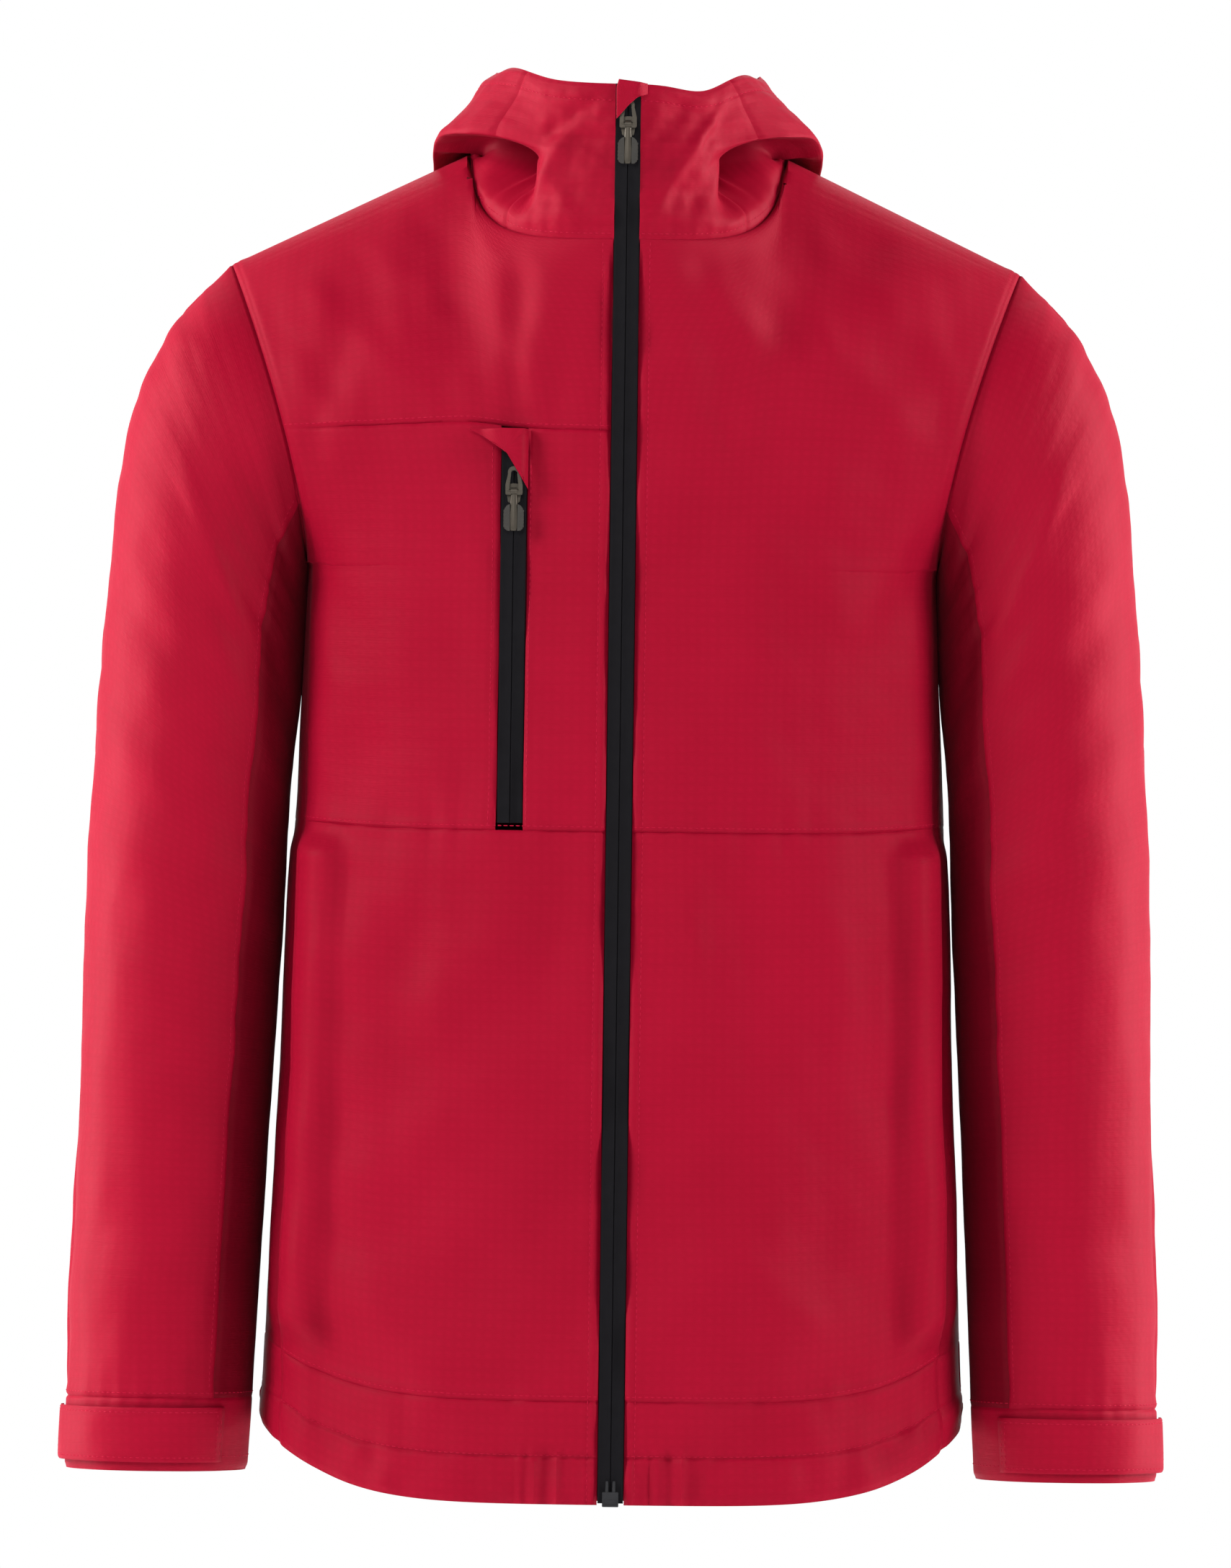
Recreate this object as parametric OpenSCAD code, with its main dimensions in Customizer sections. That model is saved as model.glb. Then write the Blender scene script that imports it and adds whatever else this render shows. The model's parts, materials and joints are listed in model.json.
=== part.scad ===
// Hooded hardshell jacket with the front zip closed, hanging from the loop at the back of its neck.
// +Z is up, the front faces -Y and the wearer's left is at +X. The origin is the point of the
// hanger loop that rests on its hook. Most shapes are worked out in the garment's own frame, whose
// XZ plane holds the side seams, and are then moved by hung().

/* [Body] */
// Height from the side of the hem to the shoulder point
body_len = 640; // [540:5:760]
// Half width at the underarm
chest_half = 175; // [150:1:205]
// Half width at the hem
hem_half = 195; // [165:1:230]
// Half width between the shoulder points
shoulder_half = 219; // [185:1:262]
// Depth from the side seams to the zip at the hem
front_depth = 126; // [105:1:150]
// Depth from the side seams to the middle of the back
back_depth = 112; // [95:1:135]
// How much lower the hem is at the middle of the front than at the sides
front_drop = 40; // [10:1:60]
// How much lower the hem is at the middle of the back than at the sides
back_drop = 48; // [10:1:70]
// Height of the armhole
armhole_h = 165; // [140:1:200]
// Half depth of the armhole, front to back
armhole_half = 68; // [55:1:82]
// Height of the hem band at the sides
hem_band_h = 48; // [35:1:60]
// Height of the waist seam above the side of the hem
waist_h = 333; // [270:1:400]
// Distance of the chest seam below the shoulder points
chest_seam_drop = 92; // [60:1:120]

/* [Neck and hood] */
// Half width of the neck seam
neck_half = 87; // [75:1:100]
// Depth from the side seams to the front of the neck seam
neck_front = 98; // [85:1:110]
// Depth from the side seams to the back of the neck seam
neck_back = 58; // [45:1:75]
// Height of the collar above the front of the neck seam
collar_h = 90; // [60:1:110]
// Half width of the hood where it rests on the shoulders
hood_half = 108; // [96:1:125]
// Half width of the hood's rim
rim_half = 74; // [64:1:84]
// How far the folded hood hangs below the back of the neck seam
hood_hang = 118; // [80:1:150]
// Inner radius of the hanger loop
loop_r = 15; // [10:1:22]

/* [Sleeves] */
// Height from the shoulder point to the end of the cuff
sleeve_len = 667; // [560:1:800]
// Half depth of the cuff, front to back
cuff_half = 50; // [42:1:60]
// Height of the cuff band
cuff_h = 40; // [30:1:60]
// Height of the adjuster tab
tab_h = 30; // [20:1:34]
// Width of the cuff, seen from the front
cuff_w = 101; // [85:1:120]
// Gap between the cuff and the hem
sleeve_gap = 6; // [4:1:30]

/* [Zips] */
// Width of a zip's coated tape
tape_w = 14; // [12:1:20]
// Thickness of a zip's tape
tape_t = 1.4; // [1:0.1:2]
// Distance from the front zip to the chest pocket's zip
chest_zip_x = 60; // [50:1:85]
// Width of a slider's body
slider_w = 8.4; // [7:0.2:11]
// Length of a puller from its pivot
puller_len = 22; // [16:1:40]

/* [Cloth] */
// Thickness of the shell cloth with its lining and seams
cloth_t = 2; // [1.6:0.1:3]
// Gap between neighbouring panels, which the stitching closes
seam_gap = 0.4; // [0.3:0.1:0.8]
// Diameter of the elastic drawcords
cord_d = 3; // [2:0.5:4]

/* [Hidden] */
$fn = 32;

// Colours
red = [0.66, 0.06, 0.17];
deep_red = [0.50, 0.03, 0.12];
bright_red = [0.72, 0.12, 0.23];
black = [0.11, 0.11, 0.12];
bronze = [0.30, 0.28, 0.25];

// Heights in the garment's frame
shoulder_z = -50;
neck_front_z = -36;
shoulder_slope = 0.48;
hem_z = shoulder_z - body_len;
neck_side_z = shoulder_z + shoulder_slope * (shoulder_half - neck_half);
neck_back_z = neck_side_z - 3;
rim_z = neck_front_z + collar_h;
hang = [0, neck_back - 7, neck_back_z + loop_r];

// The body's height runs from 0 at the hem to 1 at the shoulder points
w_underarm = 1 - armhole_h / body_len;
w_band = hem_band_h / body_len;
w_waist = waist_h / body_len;
w_chest = 1 - chest_seam_drop / body_len;
w_round = 0.8;
half_gap = seam_gap / 2;
w_gap = half_gap / body_len;

// ---- Helpers ----
function lerp(a, b, t) = a + (b - a) * t;
function unit(v) = v / norm(v);
function smooth(t) = let (u = max(0, min(1, t))) u * u * (3 - 2 * u);
function spline4(a, b, c, d, t) =
  0.5 * (2 * b + (c - a) * t + (2 * a - 5 * b + 4 * c - d) * t * t + (3 * b - a - 3 * c + d) * t * t * t);
function curve(p, t) =
  let (n = len(p) - 1, k = min(floor(t * n), n - 1))
  spline4(k == 0 ? 2 * p[0] - p[1] : p[k - 1], p[k], p[k + 1],
    k == n - 1 ? 2 * p[n] - p[n - 1] : p[k + 2], t * n - k);
function steps(a, b, n) = [for (i = [0:n]) lerp(a, b, i / n)];
function flat(m) = [for (row = m) each row];

module hung() translate(-hang) children();
module on_side(side) mirror([side == "right" ? 1 : 0, 0, 0]) children();

// A skin between two grids of points; a closed one joins its last column to its first
module skin(outer, inner, closed = false) {
  rows = len(outer);
  cols = len(outer[0]);
  last = closed ? cols - 1 : cols - 2;
  far = rows * cols;
  function at(r, c) = r * cols + c % cols;
  faces = concat(
    [for (r = [0:rows - 2], c = [0:last])
      each [[at(r, c), at(r + 1, c), at(r + 1, c + 1)], [at(r, c), at(r + 1, c + 1), at(r, c + 1)]]],
    [for (r = [0:rows - 2], c = [0:last])
      each [[far + at(r, c), far + at(r + 1, c + 1), far + at(r + 1, c)],
        [far + at(r, c), far + at(r, c + 1), far + at(r + 1, c + 1)]]],
    [for (c = [0:last]) each [[at(0, c), at(0, c + 1), far + at(0, c + 1)],
      [at(0, c), far + at(0, c + 1), far + at(0, c)]]],
    [for (c = [0:last]) each [[at(rows - 1, c), far + at(rows - 1, c + 1), at(rows - 1, c + 1)],
      [at(rows - 1, c), far + at(rows - 1, c), far + at(rows - 1, c + 1)]]],
    closed ? [] : [for (r = [0:rows - 2]) each [[at(r, 0), far + at(r, 0), far + at(r + 1, 0)],
      [at(r, 0), far + at(r + 1, 0), at(r + 1, 0)]]],
    closed ? [] : [for (r = [0:rows - 2])
      each [[at(r, cols - 1), far + at(r + 1, cols - 1), far + at(r, cols - 1)],
        [at(r, cols - 1), at(r + 1, cols - 1), far + at(r + 1, cols - 1)]]]);
  polyhedron(concat(flat(outer), flat(inner)), faces, convexity = 6);
}

// Stands children at point o with their own x, y and z along the given directions
module placed(o, x, y, z)
  multmatrix([for (i = [0:2]) [x[i], y[i], z[i], o[i]]]) children();

// ---- The body's surface ----
function body_row_z(w) = hem_z + body_len * w;
function arm_part(w) = max(0, (w - w_underarm) / (1 - w_underarm));
function half_at(w) = w < w_underarm
  ? chest_half + (hem_half - chest_half) * pow(1 - w / w_underarm, 1.2)
  : chest_half + (shoulder_half - chest_half) * pow(arm_part(w), 1.5);
function edge_depth(w) = armhole_half * 2 * sqrt(arm_part(w) * (1 - arm_part(w)));
function neck_part(x) = sqrt(max(0, 1 - pow(x / neck_half, 2)));
function neck_z(x, back) =
  lerp(back ? neck_back_z : neck_front_z, neck_side_z, pow(1 - neck_part(x), 2));
function top_z(x, back) =
  x >= neck_half ? shoulder_z + shoulder_slope * (shoulder_half - x) : neck_z(x, back);
function body_z(x, w, back) = let (s = min(1, abs(x) / half_at(w)))
  body_row_z(w) - (back ? back_drop : front_drop) * (1 - pow(s, 5)) * pow(1 - w, 3)
  + (top_z(s * shoulder_half, back) - shoulder_z) * pow(w, 16);
// The front's middle is one straight line, so that the zip runs straight
zip_slope = (front_depth - neck_front) / (neck_front_z - hem_z + front_drop);
function front_line(z) = neck_front + zip_slope * (neck_front_z - z);
function back_line(w) = back_depth * curve([1.02, 0.93, 0.87, 0.93, 1.03, 1.04, 0.94], w);
function body_depth(x, w, back) = let (s = min(1, abs(x) / half_at(w)), e = edge_depth(w),
    q = lerp(2.4, 1.6, e / armhole_half), m = back ? back_line(w) : front_line(body_z(x, w, back)),
    chest = e + (m - e) * pow(1 - pow(s, q), 1 / q),
    top = (back ? neck_back : m) * neck_part(s * shoulder_half),
    r = w > w_round ? sqrt(1 - pow((w - w_round) / (1 - w_round), 2)) : 1)
  lerp(top, chest, r);
function body_point(x, w, back) =
  [x, (back ? 1 : -1) * body_depth(x, w, back), body_z(x, w, back)];
// A direction away from the body's inside, the same for every panel that meets at a point
rise_z = shoulder_z - 100;
function outward(p) =
  unit([p[0] / pow(chest_half, 2), p[1] / pow(front_depth, 2), max(0, p[2] - rise_z) / pow(110, 2)]);
function sunk(grid, d) = [for (row = grid) [for (p = row) p - d * outward(p)]];

// Columns of a panel, from 0 to 1, closer together where the body turns to the side
function half_cols(n) = [for (i = [0:n]) sin(90 * i / n)];
function full_cols(n) = [for (i = [0:n]) (1 + sin(lerp(-90, 90, i / n))) / 2];
// One panel of the body: rows at the heights ws, each from x = a(w) to x = b(w)
module body_panel(ws, a, b, cols, back = false, depth = 0, thick = cloth_t) {
  order = back ? [for (i = [len(cols) - 1:-1:0]) cols[i]] : cols;
  g = [for (w = ws) [for (u = order) body_point(lerp(a(w), b(w), u), w, back)]];
  skin(depth == 0 ? g : sunk(g, depth), sunk(g, depth + thick));
}

// ---- Body panels ----
zip_half = tape_w / 2 + seam_gap;
function rows(w0, w1, n) = steps(w0 + w_gap, w1 - w_gap, n);
function arm_rows(w0, n) = [for (w = steps(0, 1, n)) lerp(w0 + w_gap, 1, sin(90 * w))];
function at_zip(w) = zip_half;
function at_edge(w) = half_at(w);
// The front panels end a little before the side, and the back panels well before it
function at_side_front(w) =
  half_at(w) * (w < w_underarm ? 0.993 - 0.048 * (1 - w / w_underarm) : 1);
function at_side_back(w) = half_at(w) * lerp(0.74, 0.96, w / w_underarm);
chest_zip_outer = chest_zip_x + zip_half;
chest_zip_inner = chest_zip_x - zip_half;

module front_yoke_right() color(red) hung() mirror([1, 0, 0])
  body_panel(arm_rows(w_chest, 7), function (w) at_zip(w), function (w) at_edge(w), half_cols(10));
module chest_panel_outer_right() color(red) hung() mirror([1, 0, 0])
  body_panel(rows(w_waist, w_chest, 8), function (w) chest_zip_outer,
    function (w) at_side_front(w), half_cols(8));
module chest_panel_inner_right() color(red) hung() mirror([1, 0, 0])
  body_panel(rows(w_waist, w_chest, 6), function (w) at_zip(w), function (w) chest_zip_inner,
    steps(0, 1, 3));
module front_upper_left() color(red) hung()
  body_panel(concat(rows(w_waist, w_chest, 7), arm_rows(w_chest + w_gap, 7)),
    function (w) at_zip(w), function (w) at_side_front(w), half_cols(10));
module front_lower(side) color(red) hung() on_side(side)
  body_panel(rows(w_band, w_waist, 6), function (w) at_zip(w),
    function (w) at_side_front(w) - half_gap, half_cols(10));
module side_panel(side) {
  ws = rows(w_band, w_underarm, 8);
  g = [for (w = ws) concat(
    [for (u = steps(0, 1, 3)) body_point(lerp(at_side_front(w) + half_gap, half_at(w), u), w, false)],
    [for (u = [0.3, 0.6, 1]) body_point(lerp(half_at(w), at_side_back(w) + half_gap, u), w, true)])];
  color(deep_red) hung() on_side(side) skin(g, sunk(g, cloth_t));
}
module back_panel(ws, edge, n) color(red) hung()
  body_panel(ws, function (w) -edge(w), edge, full_cols(n), back = true);
module back_yoke() back_panel(arm_rows(w_underarm + w_gap, 9), function (w) half_at(w), 18);
module back_upper()
  back_panel(rows(w_waist, w_underarm, 3), function (w) at_side_back(w) - half_gap, 12);
module back_lower()
  back_panel(rows(w_band, w_waist, 5), function (w) at_side_back(w) - half_gap, 12);
module hem_front(side) color(deep_red) hung() on_side(side)
  body_panel(rows(0, w_band, 3), function (w) at_zip(w), function (w) half_at(w) - half_gap,
    half_cols(12));
module hem_back() back_panel(rows(0, w_band, 3), function (w) half_at(w) - half_gap, 18);

module chest_pocket_bag() color(deep_red) hung() mirror([1, 0, 0])
  body_panel(steps(w_waist + 0.02, w_chest - 0.02, 5), function (w) zip_half + 12,
    function (w) chest_half * 0.66, steps(0, 1, 6), depth = cloth_t + 3, thick = 3);
module hand_pocket_bag(side) color(deep_red) hung() on_side(side)
  body_panel(steps(w_band + 0.02, w_waist - 0.01, 5), function (w) zip_half + 30,
    function (w) half_at(w) * 0.93, half_cols(6), depth = cloth_t + 3, thick = 3);

// ---- Sleeves ----
// The outer and inner lines of a sleeve, from the shoulder point and from the underarm
outer_rise = sleeve_len / 667;
outer_spread = (hem_half + sleeve_gap + cuff_w - shoulder_half) / 83;
outer_line_points = [for (p = [[0, 0], [36, -42], [57, -100], [66, -190], [72, -300], [76, -420],
  [80, -545], [83, -667]]) [shoulder_half + p[0] * outer_spread, shoulder_z + p[1] * outer_rise]];
inner_rise = (sleeve_len - armhole_h) / 502;
inner_spread = (hem_half + sleeve_gap - chest_half) / 26;
inner_line_points = [for (p = [[0, 0], [1.5, -35], [4, -75], [6.5, -125], [9.5, -185], [14, -270],
  [19.5, -380], [26, -502]])
  [chest_half + p[0] * inner_spread, shoulder_z - armhole_h + p[1] * inner_rise]];
forearm_lead = 22;
under_seam = 128;
t_cuff = 1 - cuff_h / (7 * 122 * outer_rise);
function sleeve_depth(t) = lerp(armhole_half, cuff_half, t) + 5 * sin(180 * t);
function armhole_ring(a) = let (w = lerp(w_underarm, 1, (1 + cos(a)) / 2))
  [half_at(w), -armhole_half * sin(a), body_row_z(w)];
function sleeve_ring(a, t, off) =
  let (o = curve(outer_line_points, t), i = curve(inner_line_points, t), c = (o + i) / 2,
    h = (o - i) / 2 * (1 + off / norm((o - i) / 2)))
  [c[0] + h[0] * cos(a), -forearm_lead * pow(t, 1.3) - (sleeve_depth(t) + off) * sin(a),
    c[1] + h[1] * cos(a)];
// A point of the left sleeve: a turns from the outside (0) to the front (90) and the inside (180)
seat_t = 0.15;
function sleeve_point(a, t, off = 0) = sleeve_ring(a, t, off) + [seam_gap, 0, 0]
  + (t < seat_t ? (armhole_ring(a) - sleeve_ring(a, 0, 0)) * pow(1 - t / seat_t, 2) : [0, 0, 0]);
module sleeve_panel(side, angles, ts, off = 0, thick = cloth_t, closed = false) hung() on_side(side)
  skin([for (t = ts) [for (a = angles) sleeve_point(a, t, off + thick)]],
    [for (t = ts) [for (a = angles) sleeve_point(a, t, off)]], closed);
sleeve_ts = concat(steps(0, 0.28, 8), steps(0.34, t_cuff - 0.0005, 9));
module sleeve_upper(side) color(red)
  sleeve_panel(side, steps(under_seam - 0.4, -under_seam + 0.4, 18), sleeve_ts, -cloth_t);
module sleeve_under(side) color(deep_red)
  sleeve_panel(side, steps(360 - under_seam - 0.4, under_seam + 0.4, 6), sleeve_ts, -cloth_t);
module cuff(side) color(red)
  sleeve_panel(side, [for (i = [0:23]) -15 * i], steps(t_cuff + 0.0005, 1, 2), -cloth_t, closed = true);

// The tab is sewn to the front of the cuff and reaches round to its outside
tab_root = 136;
tab_end = -8;
loop_t = 0.8;
tab_clear = 0.4;
function band_ts(h) = steps(lerp(t_cuff, 1, 0.5 - h / cuff_h / 2), lerp(t_cuff, 1, 0.5 + h / cuff_h / 2), 2);
module cuff_tab(side) color(red)
  sleeve_panel(side, steps(tab_root, tab_end, 14), band_ts(tab_h), 2 * loop_t + 2 * tab_clear, 1.6);
module cuff_hook_patch(side) color(black)
  sleeve_panel(side, steps(26, tab_end + 2, 4), band_ts(tab_h - 8), loop_t + 1.5 * tab_clear, loop_t);
module cuff_loop_patch(side) color(red)
  sleeve_panel(side, steps(32, tab_end - 14, 6), band_ts(tab_h - 10), tab_clear / 2, loop_t);

// ---- Collar and hood ----
neck_gap = 1.2;
rim_back = 96;
rim_peak = 6;
rim_back_z = rim_z - 30;
fold_front_z = neck_side_z + 10;
fold_back_z = neck_back_z - hood_hang;
fold_back = 136;
fold_front = 88;
function neck_seam(f) = let (x = neck_half * sin(f), back = f > 90)
  [x, -(back ? neck_back : neck_front) * cos(f), neck_z(x, back) + neck_gap];
function rim(f) = let (k = pow(sin(f), 2))
  [rim_half * sin(f), -(f > 90 ? rim_back : front_line(rim_z)) * cos(f),
    f > 90 ? lerp(rim_back_z, rim_z + rim_peak, k) : rim_z + rim_peak * k];
function fold(f) = [hood_half * pow(sin(f), f > 90 ? 0.8 : 1.2), -(f > 90 ? fold_back : fold_front) * cos(f),
  lerp(fold_front_z, fold_back_z, smooth((f - 70) / 110))];
function valley(f) = let (n = neck_seam(f), k = lerp(0.93, 1.2, smooth((f - 80) / 60)))
  [n[0] * k, n[1] * k, max(n[2] + 4, fold(f)[2] - 4)];
function hood_half_point(f, t) =
  let (n = neck_seam(f), r = rim(f), d = fold(f), k = smooth((f - 38) / 20),
    m = lerp(d, r, 0.5) + 12 * smooth((f - 90) / 60) * [sin(f), -cos(f), 0])
  curve([n, lerp(lerp(n, r, 0.3), valley(f), k), lerp(lerp(n, r, 0.55), d, k),
    lerp(lerp(n, r, 0.78), m, k), r], t);
// A point of the hood: f turns from the front (0) past the left side (90) to the back (180)
function hood_point(f, t) = f > 180
  ? let (p = hood_half_point(360 - f, t)) [-p[0], p[1], p[2]] : hood_half_point(f, t);
function hood_normal(f, t) =
  unit(cross(hood_point(f + 1, t) - hood_point(f - 1, t),
    hood_point(f, min(1, t + 0.01)) - hood_point(f, max(0, t - 0.01))));
module hood_panel(fs, ts, thick = cloth_t, depth = 0)
  skin([for (t = ts) [for (f = fs) hood_point(f, t) - depth * hood_normal(f, t)]],
    [for (t = ts) [for (f = fs) hood_point(f, t) - (depth + thick) * hood_normal(f, t)]]);
collar_end = 50;
centre_start = 150;
brim_t = 0.86;
angle_gap = 0.15;
collar_start = asin(zip_half / rim_half);
module collar(side) color(red) hung() on_side(side)
  hood_panel(steps(collar_start, collar_end - angle_gap, 6), steps(0, 1, 8));
module hood_side(side) color(red) hung() on_side(side)
  hood_panel(steps(collar_end + angle_gap, centre_start - angle_gap, 12), steps(0, 1, 16));
module hood_centre() color(red) hung()
  hood_panel(steps(centre_start + angle_gap, 360 - centre_start - angle_gap, 6),
    steps(0, brim_t - 0.003, 14));
module hood_brim() color(deep_red) hung()
  hood_panel(steps(centre_start + angle_gap, 360 - centre_start - angle_gap, 6), [brim_t, 0.93, 1]);
strap_w = 6;
strap_t = 1.2;
module hanger_loop() color(black)
  translate([0, 0, -loop_r]) rotate([90, 0, 0])
    rotate_extrude(angle = 180) translate([loop_r, -strap_w / 2]) square([strap_t, strap_w]);

// ---- Zips ----
// Each zip is built in its own frame: x across the tape, y out of the cloth, z up the zip
function straight(top, bottom, out) = let (z = unit(top - bottom), x = unit(cross(out, z)))
  [top, x, cross(z, x), z, norm(top - bottom)];
module on_zip(line) placed(line[0], line[1], line[2], line[3]) children();
front_zip_top = rim_z - 4;
front_zip_bottom = hem_z - front_drop;
front_zip = straight([0, -front_line(front_zip_top), front_zip_top],
  [0, -front_line(front_zip_bottom), front_zip_bottom], [0, -1, 0]);
front_slider_drop = 24;
zip_lift = 0.6;
chest_zip_margin = 4;
function chest_zip_point(w) = body_point(chest_zip_x, w, false) - [0, zip_lift, 0];
chest_zip = straight(chest_zip_point(w_chest - chest_zip_margin / body_len),
  chest_zip_point(w_waist + chest_zip_margin / body_len), [0, -1, 0]);
chest_slider_drop = 32;
// The hand pockets' zips lie just in front of the side seams and face a little forwards, clear of the sleeves
hand_inset = 11;
hand_lift = 3.8;
hand_turn = 26;
hand_margin = 0.02;
function hand_zip_point(w) =
  let (p = body_point(at_side_front(w) - hand_inset, w, false)) p + hand_lift * outward(p);
hand_zip = straight(hand_zip_point(w_waist - hand_margin), hand_zip_point(w_band + hand_margin),
  [cos(hand_turn), -sin(hand_turn), 0]);
hand_slider_drop = 14;
coil_w = 2.4;
coil_t = 1.6;

module tape(length, w = tape_w) translate([-w / 2, -tape_t, -length]) cube([w, tape_t, length]);
module half_tape(length) translate([coil_w / 2 + 0.1, -tape_t, -length])
  cube([(tape_w - coil_w) / 2 - 0.1, tape_t, length]);

slider_plate = 2.2;
slider_h = 11;
slider_clear = 0.4;
bail_w = 9.6;
bail_h = 15.6;
bail_slot = 4.8;
bail_t = 1.6;
bail_bar_r = 0.9;
bar_y = slider_clear + slider_plate + 2.4;
bar_z = 1;
module pill(w, h, t) hull() for (z = [w / 2, h - w / 2])
  translate([0, t / 2, z]) rotate([90, 0, 0]) cylinder(d = w, h = t, center = false);
module slider() color(bronze) {
  translate([-slider_w / 2, slider_clear, -slider_h / 2]) cube([slider_w, slider_plate, slider_h]);
  difference() {
    translate([-bail_w / 2, bar_y - bail_t / 2, -bar_z]) cube([bail_w, bail_t, bail_h]);
    translate([-bail_slot / 2, bar_y - bail_t, -2 * bar_z]) cube([bail_slot, 2 * bail_t, bail_h - 1]);
  }
  for (x = [-1, 1]) translate([x * (bail_w + bail_slot) / 4 - 1, slider_clear + slider_plate - 0.1, -bar_z])
    cube([2, bar_y - slider_clear - slider_plate - bail_t / 2 + 0.2, 4]);
  translate([-bail_w / 2 + 0.5, bar_y, bar_z]) rotate([0, 90, 0]) cylinder(r = bail_bar_r, h = bail_w - 1);
}
eye_r = 2.1;
eye_bore = bail_bar_r + 0.25;
grip_w = 3;
puller_w = 11.2;
puller_t = 2.2;
module puller() color(bronze) translate([0, bar_y, bar_z]) {
  difference() {
    union() {
      translate([-bail_slot / 2 + 0.6, 0, 0]) rotate([0, 90, 0]) cylinder(r = eye_r, h = bail_slot - 1.2);
      translate([-bail_slot / 2 + 0.6, -puller_t / 2, -puller_len])
        cube([bail_slot - 1.2, puller_t, puller_len - eye_bore - 0.3]);
    }
    translate([-bail_slot, 0, 0]) rotate([0, 90, 0]) cylinder(r = eye_bore, h = 2 * bail_slot);
  }
  for (x = [-puller_w / 2, puller_w / 2 - grip_w])
    translate([x, -puller_t / 2, -puller_len]) cube([grip_w, puller_t, puller_len * 0.62]);
  translate([-puller_w / 2, -puller_t / 2, -puller_len]) cube([puller_w, puller_t, 2.4]);
}

retainer_w = 9.2;
retainer_h = 8.4;
module storm_flap() color(deep_red) hung() on_zip(front_zip)
  translate([-16, -tape_t - coil_t - 3, -front_zip[4] + 4]) cube([32, 1.2, front_zip[4] - 12]);
module zip_tape(side) color(black) hung() on_zip(front_zip)
  mirror([side == "right" ? 0 : 1, 0, 0]) half_tape(front_zip[4] - 1);
module zip_coil() color(black) hung() on_zip(front_zip) for (x = [-1, 1])
  translate([x * coil_w / 4 - coil_w / 4 + 0.05, -tape_t - coil_t * 0.4, -front_zip[4] + retainer_h])
    cube([coil_w / 2 - 0.1, coil_t, front_zip[4] - retainer_h - 6]);
module zip_retainer_box() color(black) hung() on_zip(front_zip) {
  translate([-retainer_w / 2, 0.2, -front_zip[4] - 1]) cube([retainer_w, 2.4, retainer_h]);
  for (x = [-1, 1]) translate([x * 2.4 - 0.8, 0.2, -front_zip[4] + retainer_h - 1.2]) cube([1.6, 1.6, 6]);
}
garage_lift = 7.6;
module zip_garage() color(bright_red) hung() on_zip(front_zip) translate([0, garage_lift, 0])
  rotate([90, 0, 0]) linear_extrude(1.6) polygon([[-11, 5], [6, 4], [6.5, -19], [3, -9], [-9, 0]]);
module zip_slider() hung() on_zip(front_zip) translate([0, 0, -front_slider_drop]) slider();
module zip_puller() hung() on_zip(front_zip) translate([0, 0, -front_slider_drop]) puller();

module chest_zip_tape() color(black) hung() mirror([1, 0, 0]) on_zip(chest_zip) tape(chest_zip[4]);
module chest_zip_garage() color(bright_red) hung() mirror([1, 0, 0]) on_zip(chest_zip)
  translate([0, garage_lift, 0]) rotate([90, 0, 0]) linear_extrude(1.6)
    polygon([[-8, 3], [25, 3], [14, -4], [4, -8], [-3, -16], [-8, -30]]);
module chest_zip_slider() hung() mirror([1, 0, 0]) on_zip(chest_zip)
  translate([0, 0, -chest_slider_drop]) slider();
module chest_zip_puller() hung() mirror([1, 0, 0]) on_zip(chest_zip)
  translate([0, 0, -chest_slider_drop]) puller();

module hand_zip_tape(side) color(black) hung() on_side(side) on_zip(hand_zip) tape(hand_zip[4], 9);
module hand_zip_slider(side) hung() on_side(side) on_zip(hand_zip)
  translate([0, 0, -hand_slider_drop]) slider();
module hand_zip_puller(side) hung() on_side(side) on_zip(hand_zip)
  translate([0, 0, -hand_slider_drop]) puller();

// ---- Hem drawcord and its locks ----
lock_r = 6;
lock_h = 14;
button_r = 4.05;
button_bore = 4.1;
button_travel = 3;
lock_x = 0.9;
lock_w = 0.035;
cord_sink = cloth_t + cord_d + 3;
function inner_hem_point(x, back) =
  let (p = body_point(x, lock_w, back)) p - cord_sink * outward(p);
lock_place = let (p = body_point(lock_x * half_at(lock_w), lock_w, false))
  p - (cloth_t + lock_r + 4) * outward(p);
cord_half = half_at(lock_w) * 0.999;
cord_start = lock_place + [4, lock_r + cord_d, 2];
cord_route = concat([cord_start], [for (a = steps(80, -80, 24)) inner_hem_point(cord_half * sin(a), true)],
  [[-cord_start[0], cord_start[1], cord_start[2]]]);
function route_dir(p, i) = unit(p[min(i + 1, len(p) - 1)] - p[max(i - 1, 0)]);
module tube(p, r, sides = 8) {
  rings = [for (i = [0:len(p) - 1]) let (d = route_dir(p, i), x = unit(cross(d, [0, 0, 1])), y = cross(x, d))
    [for (k = [0:sides - 1]) p[i] + r * (cos(360 * k / sides) * x + sin(360 * k / sides) * y)]];
  n = len(p);
  polyhedron(flat(rings), concat(
    [for (i = [0:n - 2], k = [0:sides - 1]) let (a = i * sides + k, b = i * sides + (k + 1) % sides)
      each [[a, a + sides, b + sides], [a, b + sides, b]]],
    [[for (k = [0:sides - 1]) k], [for (k = [sides - 1:-1:0]) (n - 1) * sides + k]]));
}
module hem_drawcord() color(black) hung() tube(cord_route, cord_d / 2);
module hem_cord_lock(side) color(black) hung() on_side(side) translate(lock_place) difference() {
  translate([0, 0, -lock_h / 2]) cylinder(r = lock_r, h = lock_h);
  translate([0, 0, -2]) cylinder(r = button_bore, h = lock_h);
}
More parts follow.
